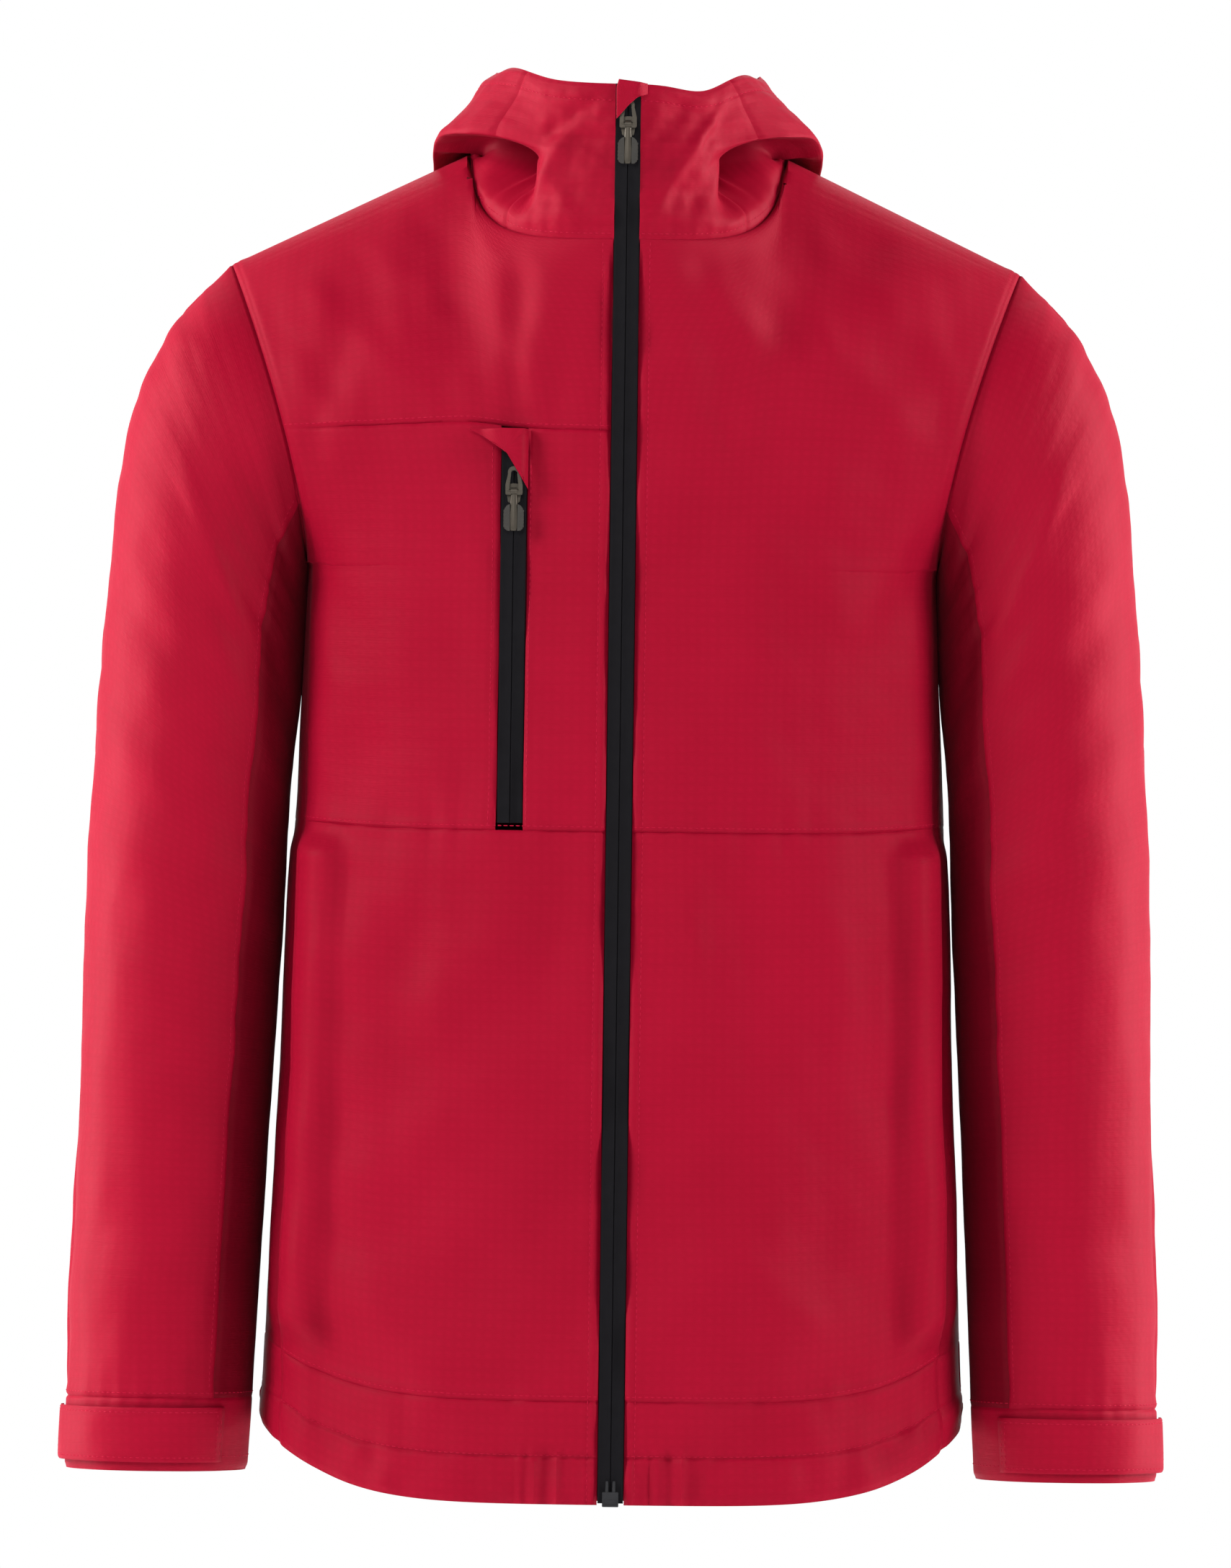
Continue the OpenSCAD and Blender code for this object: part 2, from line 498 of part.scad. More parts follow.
module hem_lock_button(side) color(black) hung() on_side(side) translate(lock_place)
  translate([0, 0, -2 + button_travel + 0.5]) cylinder(r = button_r, h = lock_h / 2 + 3);

front_yoke_right();
chest_panel_outer_right();
chest_panel_inner_right();
front_upper_left();
front_lower("right");  // front_lower_right
front_lower("left");  // front_lower_left
side_panel("right");  // side_panel_right
side_panel("left");  // side_panel_left
back_yoke();
back_upper();
back_lower();
hem_front("right");  // hem_front_right
hem_front("left");  // hem_front_left
hem_back();
storm_flap();
zip_tape("right");  // zip_tape_right
zip_tape("left");  // zip_tape_left
zip_coil();
zip_retainer_box();
zip_garage();
zip_slider();
zip_puller();
chest_zip_tape();
chest_zip_garage();
chest_zip_slider();
chest_zip_puller();
chest_pocket_bag();
hand_zip_tape("right");  // hand_zip_tape_right
hand_zip_tape("left");  // hand_zip_tape_left
hand_zip_slider("right");  // hand_zip_slider_right
hand_zip_slider("left");  // hand_zip_slider_left
hand_zip_puller("right");  // hand_zip_puller_right
hand_zip_puller("left");  // hand_zip_puller_left
hand_pocket_bag("right");  // hand_pocket_bag_right
hand_pocket_bag("left");  // hand_pocket_bag_left
collar("right");  // collar_right
collar("left");  // collar_left
hood_side("right");  // hood_side_right
hood_side("left");  // hood_side_left
hood_centre();
hood_brim();
hanger_loop();
hem_drawcord();
hem_cord_lock("right");  // hem_cord_lock_right
hem_cord_lock("left");  // hem_cord_lock_left
hem_lock_button("right");  // hem_lock_button_right
hem_lock_button("left");  // hem_lock_button_left
sleeve_upper("right");  // sleeve_upper_right
sleeve_upper("left");  // sleeve_upper_left
sleeve_under("right");  // sleeve_under_right
sleeve_under("left");  // sleeve_under_left
cuff("right");  // cuff_right
cuff("left");  // cuff_left
cuff_tab("right");  // cuff_tab_right
cuff_tab("left");  // cuff_tab_left
cuff_hook_patch("right");  // cuff_hook_patch_right
cuff_hook_patch("left");  // cuff_hook_patch_left
cuff_loop_patch("right");  // cuff_loop_patch_right
cuff_loop_patch("left");  // cuff_loop_patch_left
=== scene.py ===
import json
import math

import bmesh
import bpy
import numpy as np
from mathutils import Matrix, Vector


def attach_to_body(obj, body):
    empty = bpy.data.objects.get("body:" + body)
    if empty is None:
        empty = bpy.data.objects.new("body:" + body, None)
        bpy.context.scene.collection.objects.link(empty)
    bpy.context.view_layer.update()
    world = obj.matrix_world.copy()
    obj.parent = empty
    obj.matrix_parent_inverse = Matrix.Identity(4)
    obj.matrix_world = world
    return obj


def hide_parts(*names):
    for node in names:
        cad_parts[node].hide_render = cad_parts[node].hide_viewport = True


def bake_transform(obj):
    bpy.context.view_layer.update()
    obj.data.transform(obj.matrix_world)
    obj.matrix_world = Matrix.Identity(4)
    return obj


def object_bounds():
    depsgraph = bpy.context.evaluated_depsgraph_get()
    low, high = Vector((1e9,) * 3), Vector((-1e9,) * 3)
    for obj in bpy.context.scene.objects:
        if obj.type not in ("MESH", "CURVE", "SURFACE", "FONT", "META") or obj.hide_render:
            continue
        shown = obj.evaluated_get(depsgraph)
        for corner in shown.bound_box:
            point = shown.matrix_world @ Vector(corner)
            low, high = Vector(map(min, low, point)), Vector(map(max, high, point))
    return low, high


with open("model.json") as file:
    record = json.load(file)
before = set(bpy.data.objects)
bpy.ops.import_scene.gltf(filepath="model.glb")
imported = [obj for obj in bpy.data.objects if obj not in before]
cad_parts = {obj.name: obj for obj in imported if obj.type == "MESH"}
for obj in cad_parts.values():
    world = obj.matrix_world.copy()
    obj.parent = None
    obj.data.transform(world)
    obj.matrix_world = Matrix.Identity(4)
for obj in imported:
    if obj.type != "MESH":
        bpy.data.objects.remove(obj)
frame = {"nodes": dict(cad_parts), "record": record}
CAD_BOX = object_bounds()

# Most shapes are worked out in millimetres in the garment's own frame, whose XZ plane holds the
# side seams, and to_frame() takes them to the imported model's frame, in metres.

# ---- The CAD's driving dimensions, in millimetres ----
BODY_LEN = 640.0
CHEST_HALF, HEM_HALF, SHOULDER_HALF = 175.0, 195.0, 219.0
FRONT_DEPTH, BACK_DEPTH = 126.0, 112.0
FRONT_DROP, BACK_DROP = 40.0, 48.0
ARMHOLE_H, ARMHOLE_HALF = 165.0, 68.0
HEM_BAND_H, WAIST_H, CHEST_SEAM_DROP = 48.0, 333.0, 92.0
NECK_HALF, NECK_FRONT, NECK_BACK = 87.0, 98.0, 58.0
COLLAR_H, HOOD_HALF, RIM_HALF, HOOD_HANG = 90.0, 108.0, 74.0, 118.0
LOOP_R = 15.0
SLEEVE_LEN, CUFF_HALF, CUFF_W, CUFF_H, TAB_H, SLEEVE_GAP = 667.0, 50.0, 101.0, 40.0, 30.0, 6.0
TAPE_W, CHEST_ZIP_X = 14.0, 60.0
SEAM_GAP = 0.4
SHOULDER_Z, NECK_FRONT_Z, SHOULDER_SLOPE = -50.0, -36.0, 0.48

HEM_Z = SHOULDER_Z - BODY_LEN
NECK_SIDE_Z = SHOULDER_Z + SHOULDER_SLOPE * (SHOULDER_HALF - NECK_HALF)
NECK_BACK_Z = NECK_SIDE_Z - 3
RIM_Z = NECK_FRONT_Z + COLLAR_H
HANG = np.array([0.0, NECK_BACK - 7, NECK_BACK_Z + LOOP_R])
# A W value is a height on the body as a part of its length, from 0 at the hem to 1 at the top
W_UNDERARM = 1 - ARMHOLE_H / BODY_LEN
W_BAND = HEM_BAND_H / BODY_LEN
W_WAIST = WAIST_H / BODY_LEN
W_CHEST = 1 - CHEST_SEAM_DROP / BODY_LEN
W_ROUND = 0.8            # above this the body rounds in to its top edge
ZIP_HALF = TAPE_W / 2 + SEAM_GAP
CLOTH = 0.9              # thickness of the shell cloth


def to_frame(p):
    """Garment millimetres to the frame's metres."""
    return (np.asarray(p, float) - HANG) / 1000


# ---- Helpers ----
def lerp(a, b, t):
    return a + (b - a) * t


def smooth(t):
    t = np.clip(t, 0, 1)
    return t * t * (3 - 2 * t)


def hump(d, width):
    return np.exp(-(d / width) ** 2)


def unit(v):
    return v / np.linalg.norm(v, axis=-1, keepdims=True)


def through(a, b, c, d, f):
    """The point at f from b to c on a smooth curve through four neighbours."""
    return 0.5 * (2 * b + (c - a) * f + (2 * a - 5 * b + 4 * c - d) * f ** 2
                  + (3 * b - a - 3 * c + d) * f ** 3)


def curve(points, t):
    """A smooth curve through points, at t from 0 to 1."""
    p = np.asarray(points, float)
    n = len(p) - 1
    p = np.concatenate([[2 * p[0] - p[1]], p, [2 * p[n] - p[n - 1]]])
    t = np.clip(np.asarray(t, float), 0, 1) * n
    k = np.minimum(t.astype(int), n - 1)
    f = t - k
    if p.ndim > 1:
        f = f[..., None]
    return through(p[k], p[k + 1], p[k + 2], p[k + 3], f)


def ripple(x, y, seed, size, count=7):
    """Smooth noise from -1 to 1 or so, with features about size across."""
    rng = np.random.default_rng(seed)
    out = np.zeros(np.broadcast(x, y).shape)
    for _ in range(count):
        turn, phase, k = rng.uniform(0, 2 * np.pi), rng.uniform(0, 2 * np.pi), rng.uniform(0.6, 1.5)
        out += np.sin((x * np.cos(turn) + y * np.sin(turn)) * 2 * np.pi * k / size + phase)
    return out / count ** 0.5 / 1.2


def fold_line(x, y, ax, ay, bx, by, width, height):
    """A soft ridge, or a hollow where height is negative, from (ax, ay) to (bx, by)."""
    taper = 0.35
    dx, dy = bx - ax, by - ay
    length = math.hypot(dx, dy)
    along = ((x - ax) * dx + (y - ay) * dy) / length ** 2
    across = ((x - ax) * dy - (y - ay) * dx) / length
    ends = smooth((along + taper) / (2 * taper)) * smooth((1 + taper - along) / (2 * taper))
    return height * hump(across, width) * ends


def folds(x, y, lines):
    return sum(fold_line(x, y, *line) for line in lines)


# ---- The body's surface, as in the CAD ----
def arm_part(w):
    return np.clip((w - W_UNDERARM) / (1 - W_UNDERARM), 0, 1)


def half_at(w):
    w = np.asarray(w, float)
    low = CHEST_HALF + (HEM_HALF - CHEST_HALF) * np.clip(1 - w / W_UNDERARM, 0, 1) ** 1.2
    return np.where(w < W_UNDERARM, low, CHEST_HALF + (SHOULDER_HALF - CHEST_HALF) * arm_part(w) ** 1.5)


def edge_depth(w):
    return ARMHOLE_HALF * 2 * np.sqrt(arm_part(w) * (1 - arm_part(w)))


def neck_part(x):
    return np.sqrt(np.clip(1 - (x / NECK_HALF) ** 2, 0, 1))


def neck_z(x, back):
    low = NECK_BACK_Z if back else NECK_FRONT_Z
    return lerp(low, NECK_SIDE_Z, (1 - neck_part(x)) ** 2)


def top_z(x, back):
    return np.where(x >= NECK_HALF, SHOULDER_Z + SHOULDER_SLOPE * (SHOULDER_HALF - x), neck_z(x, back))


def front_line(z):
    slope = (FRONT_DEPTH - NECK_FRONT) / (NECK_FRONT_Z - HEM_Z + FRONT_DROP)
    return NECK_FRONT + slope * (NECK_FRONT_Z - z)


def rounding(w):
    """1 over most of the body's height, falling to 0 at its top edge."""
    return np.sqrt(1 - (np.clip(w - W_ROUND, 0, None) / (1 - W_ROUND)) ** 2)


def body_point(x, w, back):
    """A point of the body: x across it, and w up it, from 0 at the hem to 1 at the neck and shoulders."""
    w = np.asarray(w, float)
    s = np.clip(np.abs(x) / half_at(w), 0, 1)
    z = HEM_Z + BODY_LEN * w - (BACK_DROP if back else FRONT_DROP) * (1 - s ** 5) * (1 - w) ** 3
    z = z + (top_z(s * SHOULDER_HALF, back) - SHOULDER_Z) * w ** 16
    e = edge_depth(w)
    q = lerp(2.4, 1.6, e / ARMHOLE_HALF)
    m = BACK_DEPTH * curve([1.02, 0.93, 0.87, 0.93, 1.03, 1.04, 0.94], w) if back else front_line(z)
    chest = e + (m - e) * (1 - s ** q) ** (1 / q)
    top = (NECK_BACK if back else m) * neck_part(s * SHOULDER_HALF)
    y = lerp(top, chest, rounding(w))
    return np.stack(np.broadcast_arrays(x, y if back else -y, z), axis=-1)


def side_front(w):
    return half_at(w) * np.where(w < W_UNDERARM, 0.993 - 0.048 * (1 - w / W_UNDERARM), 1)


def side_back(w):
    return half_at(w) * lerp(0.74, 0.96, np.clip(w / W_UNDERARM, 0, 1))


def normals(p, flip=False):
    """Outward directions of a grid of points."""
    n = np.cross(np.gradient(p, axis=1), np.gradient(p, axis=0))
    size = np.linalg.norm(n, axis=-1, keepdims=True)
    n = n / np.where(size < 1e-9, 1, size)
    return -n if flip else n


# ---- Materials ----
def new_material(name):
    mat = bpy.data.materials.new(name)
    mat.use_nodes = True
    nodes, links = mat.node_tree.nodes, mat.node_tree.links
    return mat, nodes, links, nodes["Principled BSDF"]


def link_bump(nodes, links, shader, layers):
    """Chains bump nodes from (height socket, strength, distance) and feeds the shader's normal."""
    last = None
    for height, strength, distance in layers:
        bump = nodes.new("ShaderNodeBump")
        bump.inputs["Strength"].default_value = strength
        bump.inputs["Distance"].default_value = distance
        links.new(height, bump.inputs["Height"])
        if last is not None:
            links.new(last.outputs["Normal"], bump.inputs["Normal"])
        last = bump
    links.new(last.outputs["Normal"], shader.inputs["Normal"])


def wave(nodes, links, coords, scale, direction):
    tex = nodes.new("ShaderNodeTexWave")
    tex.bands_direction = direction
    tex.inputs["Scale"].default_value = scale
    links.new(coords, tex.inputs["Vector"])
    return tex.outputs["Fac"]


def noise(nodes, links, coords, scale, detail=3.0, rough=0.55):
    tex = nodes.new("ShaderNodeTexNoise")
    tex.inputs["Scale"].default_value = scale
    tex.inputs["Detail"].default_value = detail
    tex.inputs["Roughness"].default_value = rough
    links.new(coords, tex.inputs["Vector"])
    return tex.outputs["Fac"]


def maths(nodes, links, operation, a, b):
    node = nodes.new("ShaderNodeMath")
    node.operation = operation
    for socket, value in zip(node.inputs, (a, b)):
        if isinstance(value, (int, float)):
            socket.default_value = value
        else:
            links.new(value, socket)
    return node.outputs[0]


def mix_colours(nodes, links, factor, low, high):
    node = nodes.new("ShaderNodeMix")
    node.data_type = "RGBA"
    node.inputs["A"].default_value = (*low, 1)
    node.inputs["B"].default_value = (*high, 1)
    links.new(factor, node.inputs["Factor"])
    return node.outputs["Result"]


THREADS_PER_M = 1150     # yarns of the plain weave
CLOTH_GLOSS = 0.045      # the shell cloth is nearly matt


def woven(name, low, high, rough=0.55, sheen=0.012, weave=0.22, threads=THREADS_PER_M):
    """Woven cloth: a plain weave, slubs in the yarn, and faint creasing."""
    mat, nodes, links, shader = new_material(name)
    coords = nodes.new("ShaderNodeTexCoord")
    uv, place = coords.outputs["UV"], coords.outputs["Object"]
    warp = wave(nodes, links, uv, threads / 20, "X")
    weft = wave(nodes, links, uv, threads / 20, "Y")
    cloth = maths(nodes, links, "MULTIPLY", warp, weft)
    slub = nodes.new("ShaderNodeMapping")
    slub.inputs["Scale"].default_value = (6, 90, 1)
    links.new(uv, slub.inputs["Vector"])
    slubs = noise(nodes, links, slub.outputs["Vector"], 14.0, 4.0, 0.7)
    mottle = noise(nodes, links, place, 9.0, 5.0, 0.6)
    shade = maths(nodes, links, "ADD", maths(nodes, links, "MULTIPLY", mottle, 0.62),
                  maths(nodes, links, "MULTIPLY", slubs, 0.38))
    tone = maths(nodes, links, "ADD", shade, maths(nodes, links, "MULTIPLY", cloth, 0.16))
    links.new(mix_colours(nodes, links, tone, low, high), shader.inputs["Base Color"])
    shader.inputs["Roughness"].default_value = rough
    shader.inputs["Sheen Weight"].default_value = sheen
    shader.inputs["Sheen Roughness"].default_value = 0.45
    shader.inputs["Sheen Tint"].default_value = (1.0, 0.55, 0.6, 1)
    shader.inputs["Specular IOR Level"].default_value = CLOTH_GLOSS
    creases = noise(nodes, links, place, 26.0, 4.0, 0.6)
    link_bump(nodes, links, shader, [(creases, 0.4, 0.0022), (slubs, 0.45, 0.0004),
                                     (cloth, weave, 0.0002)])
    return mat


def moulded(name, low, high, rough, metallic=0.0, grain=700.0, strength=0.15, gloss=0.16):
    """Moulded or cast material with fine grain and slightly uneven gloss."""
    mat, nodes, links, shader = new_material(name)
    place = nodes.new("ShaderNodeTexCoord").outputs["Object"]
    blotch = noise(nodes, links, place, 160.0, 4.0)
    fine = noise(nodes, links, place, grain, 3.0)
    links.new(mix_colours(nodes, links, blotch, low, high), shader.inputs["Base Color"])
    spread = maths(nodes, links, "ADD", maths(nodes, links, "MULTIPLY", blotch, 0.18), rough - 0.09)
    links.new(spread, shader.inputs["Roughness"])
    shader.inputs["Metallic"].default_value = metallic
    shader.inputs["Specular IOR Level"].default_value = gloss
    link_bump(nodes, links, shader, [(fine, strength, 0.0002)])
    return mat


INK = (0.010, 0.010, 0.011)  # the darkest tone of the black trims
RED = woven("shell_red", (0.170, 0.0006, 0.0085), (0.250, 0.0014, 0.0165))
# Painted shade: a darker copy of the shell red, used on the side panels and for the shell_deep slot, where
# the shade beside the sleeves is painted into the colour
RED_PAINTED_SHADE = woven("shell_deep", (0.135, 0.0004, 0.0065), (0.200, 0.0011, 0.0125))
# Painted shade, deeper: a still darker copy of the shell red, used under the sleeves, in the hand pockets'
# mouths and on the hood's brim, where shade falls
RED_PAINTED_DEEP_SHADE = woven("shell_painted_deep_shade", (0.085, 0.0005, 0.0045), (0.135, 0.0011, 0.0085))
LINING = woven("lining", (0.060, 0.002, 0.006), (0.10, 0.004, 0.011), rough=0.75, weave=0.5)
# The thread is lighter than the shell red: a painted highlight on the stitches
THREAD_PAINTED_HIGHLIGHT = woven("thread", (0.22, 0.0020, 0.014), (0.34, 0.0060, 0.030), rough=0.6, weave=0.1, threads=3000)
TAPE = moulded("zip_tape", (0.0030, 0.0027, 0.0034), (0.0055, 0.0050, 0.0062), 0.55, grain=1500.0,
               strength=0.2, gloss=0.045)
COIL = moulded("zip_coil", INK, (0.02, 0.02, 0.022), 0.35)
METAL = moulded("zip_metal", (0.036, 0.031, 0.025), (0.066, 0.057, 0.045), 0.42, metallic=0.7, grain=900.0)
BLACK = moulded("black_plastic", INK, (0.018, 0.018, 0.020), 0.34)
GRIP = moulded("grip_rubber", (0.020, 0.019, 0.017), (0.034, 0.031, 0.027), 0.55, grain=1200.0, strength=0.3)
CORD = woven("drawcord", INK, (0.035, 0.035, 0.037), rough=0.6, weave=0.8, threads=1400)
WEBBING = woven("black_webbing", INK, (0.03, 0.03, 0.032), rough=0.65, weave=0.9, threads=900)
HOOK = woven("hook_tape", (0.012, 0.012, 0.012), (0.03, 0.03, 0.03), rough=0.7, weave=1.0, threads=1300)
LOOP = woven("loop_tape", (0.11, 0.0010, 0.008), (0.21, 0.0040, 0.020), rough=0.85, sheen=0.05, weave=1.0,
             threads=700)
# the shell_deep slot takes the darker red of painted shade
FINISH = {"shell_red": RED, "shell_deep": RED_PAINTED_SHADE, "lining": LINING, "zip_tape": TAPE, "zip_coil": COIL,
          "zip_metal": METAL, "black_plastic": BLACK, "drawcord": CORD, "black_webbing": WEBBING,
          "hook_tape": HOOK, "loop_tape": LOOP}


# ---- Mesh building ----
def make_object(name, verts, faces, mats, face_mats=None, uv=None, smooth_faces=True):
    """A mesh object from frame-metre vertices and equal-sided faces, uv being one pair for each vertex."""
    faces = np.asarray(faces, np.int32)
    mesh = bpy.data.meshes.new(name)
    count, sides = faces.shape
    mesh.vertices.add(len(verts))
    mesh.vertices.foreach_set("co", np.asarray(verts, np.float32).ravel())
    mesh.loops.add(count * sides)
    mesh.loops.foreach_set("vertex_index", faces.ravel())
    mesh.polygons.add(count)
    mesh.polygons.foreach_set("loop_start", np.arange(0, count * sides, sides, dtype=np.int32))
    mesh.polygons.foreach_set("use_smooth", np.full(count, smooth_faces))
    for mat in mats:
        mesh.materials.append(mat)
    if face_mats is not None:
        mesh.polygons.foreach_set("material_index", np.asarray(face_mats, np.int32))
    if uv is not None:
        layer = mesh.uv_layers.new(name="UVMap")
        layer.data.foreach_set("uv", np.asarray(uv, np.float32)[faces.ravel()].ravel())
    mesh.update(calc_edges=True)
    mesh.validate()
    if smooth_faces:
        mesh.set_sharp_from_angle(angle=math.radians(50))
    obj = bpy.data.objects.new(name, mesh)
    bpy.context.scene.collection.objects.link(obj)
    return obj


def grid_faces(rows, cols, closed=False, start=0):
    r, c = np.meshgrid(np.arange(rows - 1), np.arange(cols if closed else cols - 1), indexing="ij")
    nxt = (c + 1) % cols
    quads = np.stack([r * cols + c, r * cols + nxt, (r + 1) * cols + nxt, (r + 1) * cols + c], axis=-1)
    return quads.reshape(-1, 4) + start


def shell_mesh(p, n, thick, closed=False, flip=False):
    """Vertices and faces of a skin: the points p, a second layer thick below them, and the rims."""
    rows, cols = p.shape[:2]
    verts = np.concatenate([p.reshape(-1, 3), (p - thick * n).reshape(-1, 3)])
    far = rows * cols
    top = grid_faces(rows, cols, closed)
    under = grid_faces(rows, cols, closed, far)[:, ::-1]
    ids = np.arange(far).reshape(rows, cols)
    rims = []

    def rim(line):
        rims.append(np.stack([line[:-1], line[:-1] + far, line[1:] + far, line[1:]], axis=-1))
    bottom, upper = ids[0], ids[-1]
    if closed:
        bottom, upper = np.append(bottom, bottom[0]), np.append(upper, upper[0])
    else:
        rim(ids[::-1, 0])
        rim(ids[:, -1])
    rim(bottom)
    rim(upper[::-1])
    faces = np.concatenate([top, under] + rims)
    kinds = np.concatenate([np.zeros(len(top)), np.ones(len(under)), np.zeros(sum(len(r) for r in rims))])
    if flip:
        faces = faces[:, ::-1]
    return verts, faces, kinds.astype(int)


def cloth_uv(p):
    """Distances along the cloth, in metres, for each point of a grid."""
    du = np.linalg.norm(np.diff(p, axis=1), axis=-1)
    dv = np.linalg.norm(np.diff(p, axis=0), axis=-1)
    u = np.concatenate([np.zeros((p.shape[0], 1)), np.cumsum(du, axis=1)], axis=1)
    v = np.concatenate([np.zeros((1, p.shape[1])), np.cumsum(dv, axis=0)], axis=0)
    mid = p.shape[1] // 2
    return np.stack([u - u[:, mid:mid + 1], np.repeat(v[:, mid:mid + 1], p.shape[1], axis=1)], axis=-1) / 1000


def mirrored(p):
    return p * np.array([-1.0, 1.0, 1.0])


def attach(obj, body, nodes=(), bend=None):
    """Hangs a piece on its body, or, given a bend, only bakes the piece's place into its mesh; hides the CAD
    nodes it replaces.
    """
    if bend:
        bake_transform(obj)
    else:
        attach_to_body(obj, body)
    if nodes:
        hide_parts(*nodes)
    return obj


def cloth(name, p, n, nodes=(), body="jacket", slot="shell_red", outer=RED, inner=LINING, thick=CLOTH,
          closed=False, flip=False, bend=None):
    """One panel of cloth from a grid of garment points and outward directions."""
    uv = cloth_uv(p)
    if closed:
        uv[:, :, 0] = np.linspace(0, 0.33, p.shape[1], endpoint=False)
    verts, faces, kinds = shell_mesh(p, n, thick, closed, flip)
    pair = np.concatenate([uv.reshape(-1, 2)] * 2)
    obj = make_object(name, to_frame(verts), faces, [outer, inner], kinds, pair)
    return attach(obj, body, nodes, bend)


def sample(grid, rows, cols):
    """Points of a grid at fractional row and column numbers."""
    r0 = np.clip(np.floor(rows).astype(int), 0, grid.shape[0] - 2)
    c0 = np.clip(np.floor(cols).astype(int), 0, grid.shape[1] - 2)
    fr, fc = (rows - r0)[..., None], (cols - c0)[..., None]
    return ((grid[r0, c0] * (1 - fc) + grid[r0, c0 + 1] * fc) * (1 - fr)
            + (grid[r0 + 1, c0] * (1 - fc) + grid[r0 + 1, c0 + 1] * fc) * fr)


STITCH, STITCH_GAP, THREAD_R = 2.3, 1.1, 0.27


def stitch_geometry(path, out):
    """Short thread capsules along a polyline of garment points with outward directions."""
    steps = np.linalg.norm(np.diff(path, axis=0), axis=1)
    at = np.concatenate([[0], np.cumsum(steps)])
    starts = np.arange(0.6, at[-1] - STITCH, STITCH + STITCH_GAP)
    if len(starts) == 0:
        return np.zeros((0, 3)), np.zeros((0, 4), int)

    def along(values, s):
        return np.stack([np.interp(s, at, values[:, k]) for k in range(3)], axis=-1)
    a, b = along(path, starts), along(path, starts + STITCH)
    up = unit(along(out, starts + STITCH / 2))
    ahead = unit(b - a)
    side = unit(np.cross(ahead, up))
    verts = []
    profile = [(0.0, 0.25, -0.25), (0.12, 0.8, 0.05), (0.5, 1.0, 0.12), (0.88, 0.8, 0.05), (1.0, 0.25, -0.25)]
    turn = 6
    for f, size, lift in profile:
        centre = a + (b - a) * f + up * lift
        for k in range(turn):
            t = 2 * math.pi * k / turn
            verts.append(centre + (side * math.cos(t) + up * 0.75 * math.sin(t)) * THREAD_R * size)
    verts = np.stack(verts, axis=1)
    one = grid_faces(len(profile), turn, closed=True)
    faces = (one[None] + np.arange(len(starts))[:, None, None] * len(profile) * turn).reshape(-1, 4)
    return verts.reshape(-1, 3), faces


class Stitching:
    """Collects stitch lines into one object."""

    def __init__(self):
        self.verts, self.faces, self.count = [], [], 0

    def add(self, path, out):
        v, f = stitch_geometry(np.asarray(path, float), np.asarray(out, float))
        self.verts.append(v)
        self.faces.append(f + self.count)
        self.count += len(v)

    def finish(self, name, body, bend=None):
        verts, faces = np.concatenate(self.verts), np.concatenate(self.faces)
        # the stitches take the lighter thread, a painted highlight
        obj = make_object(name, to_frame(verts), faces, [THREAD_PAINTED_HIGHLIGHT], None, verts[:, :2] / 1000)
        return attach(obj, body, (), bend)


# ---- The body ----
W_CHANNEL = 0.034        # the stitched top of the hem's drawcord channel
W_SHOULDER_SEAM = 0.994  # the shoulder seam lies a little in front of the ridge
TOPSTITCH = 5.6          # from the zip's edge to its topstitching
LAP = 2.4                # from a seam to its topstitching


def spread(bounds, counts, dense=0.72):
    """Positions through the bounds, closer together near each; also the index of each bound."""
    out, marks = [bounds[0]], [0]
    for a, b, n in zip(bounds[:-1], bounds[1:], counts):
        t = np.arange(1, n + 1) / n
        t = t - dense * np.sin(2 * np.pi * t) / (2 * np.pi)
        out += list(a + (b - a) * t)
        marks.append(marks[-1] + n)
    return np.array(out), marks


W_BOUNDS = [0, W_CHANNEL, W_BAND, W_WAIST, W_UNDERARM, W_CHEST]
WS, W_MARKS = spread(W_BOUNDS, [16, 18, 116, 60, 36])
TOP_ROWS = 96
WS = np.concatenate([WS, W_CHEST + (1 - W_CHEST) * np.sin(np.linspace(0, np.pi / 2, TOP_ROWS + 1))[1:]])
R_BAND, R_WAIST, R_UNDERARM, R_CHEST = W_MARKS[2:]
R_TOP = len(WS) - 1


def seam(d, groove=0.9, lap=0.55, stitch=LAP):
    """Height across a lapped seam, whose turned edge lies on the side where d is positive."""
    return (-groove * hump(d, 0.9) + lap * smooth(d / 1.2) * (1 - smooth((d - stitch) / 4))
            - 0.28 * hump(d - stitch, 0.7))


def pucker(along, d, seed, height, reach, size=17.0):
    """Gathers that run across a seam and die away from it."""
    wave_ = ripple(along, np.zeros_like(along), seed, size, 6)
    return height * wave_ * np.exp(-np.abs(d) / reach)


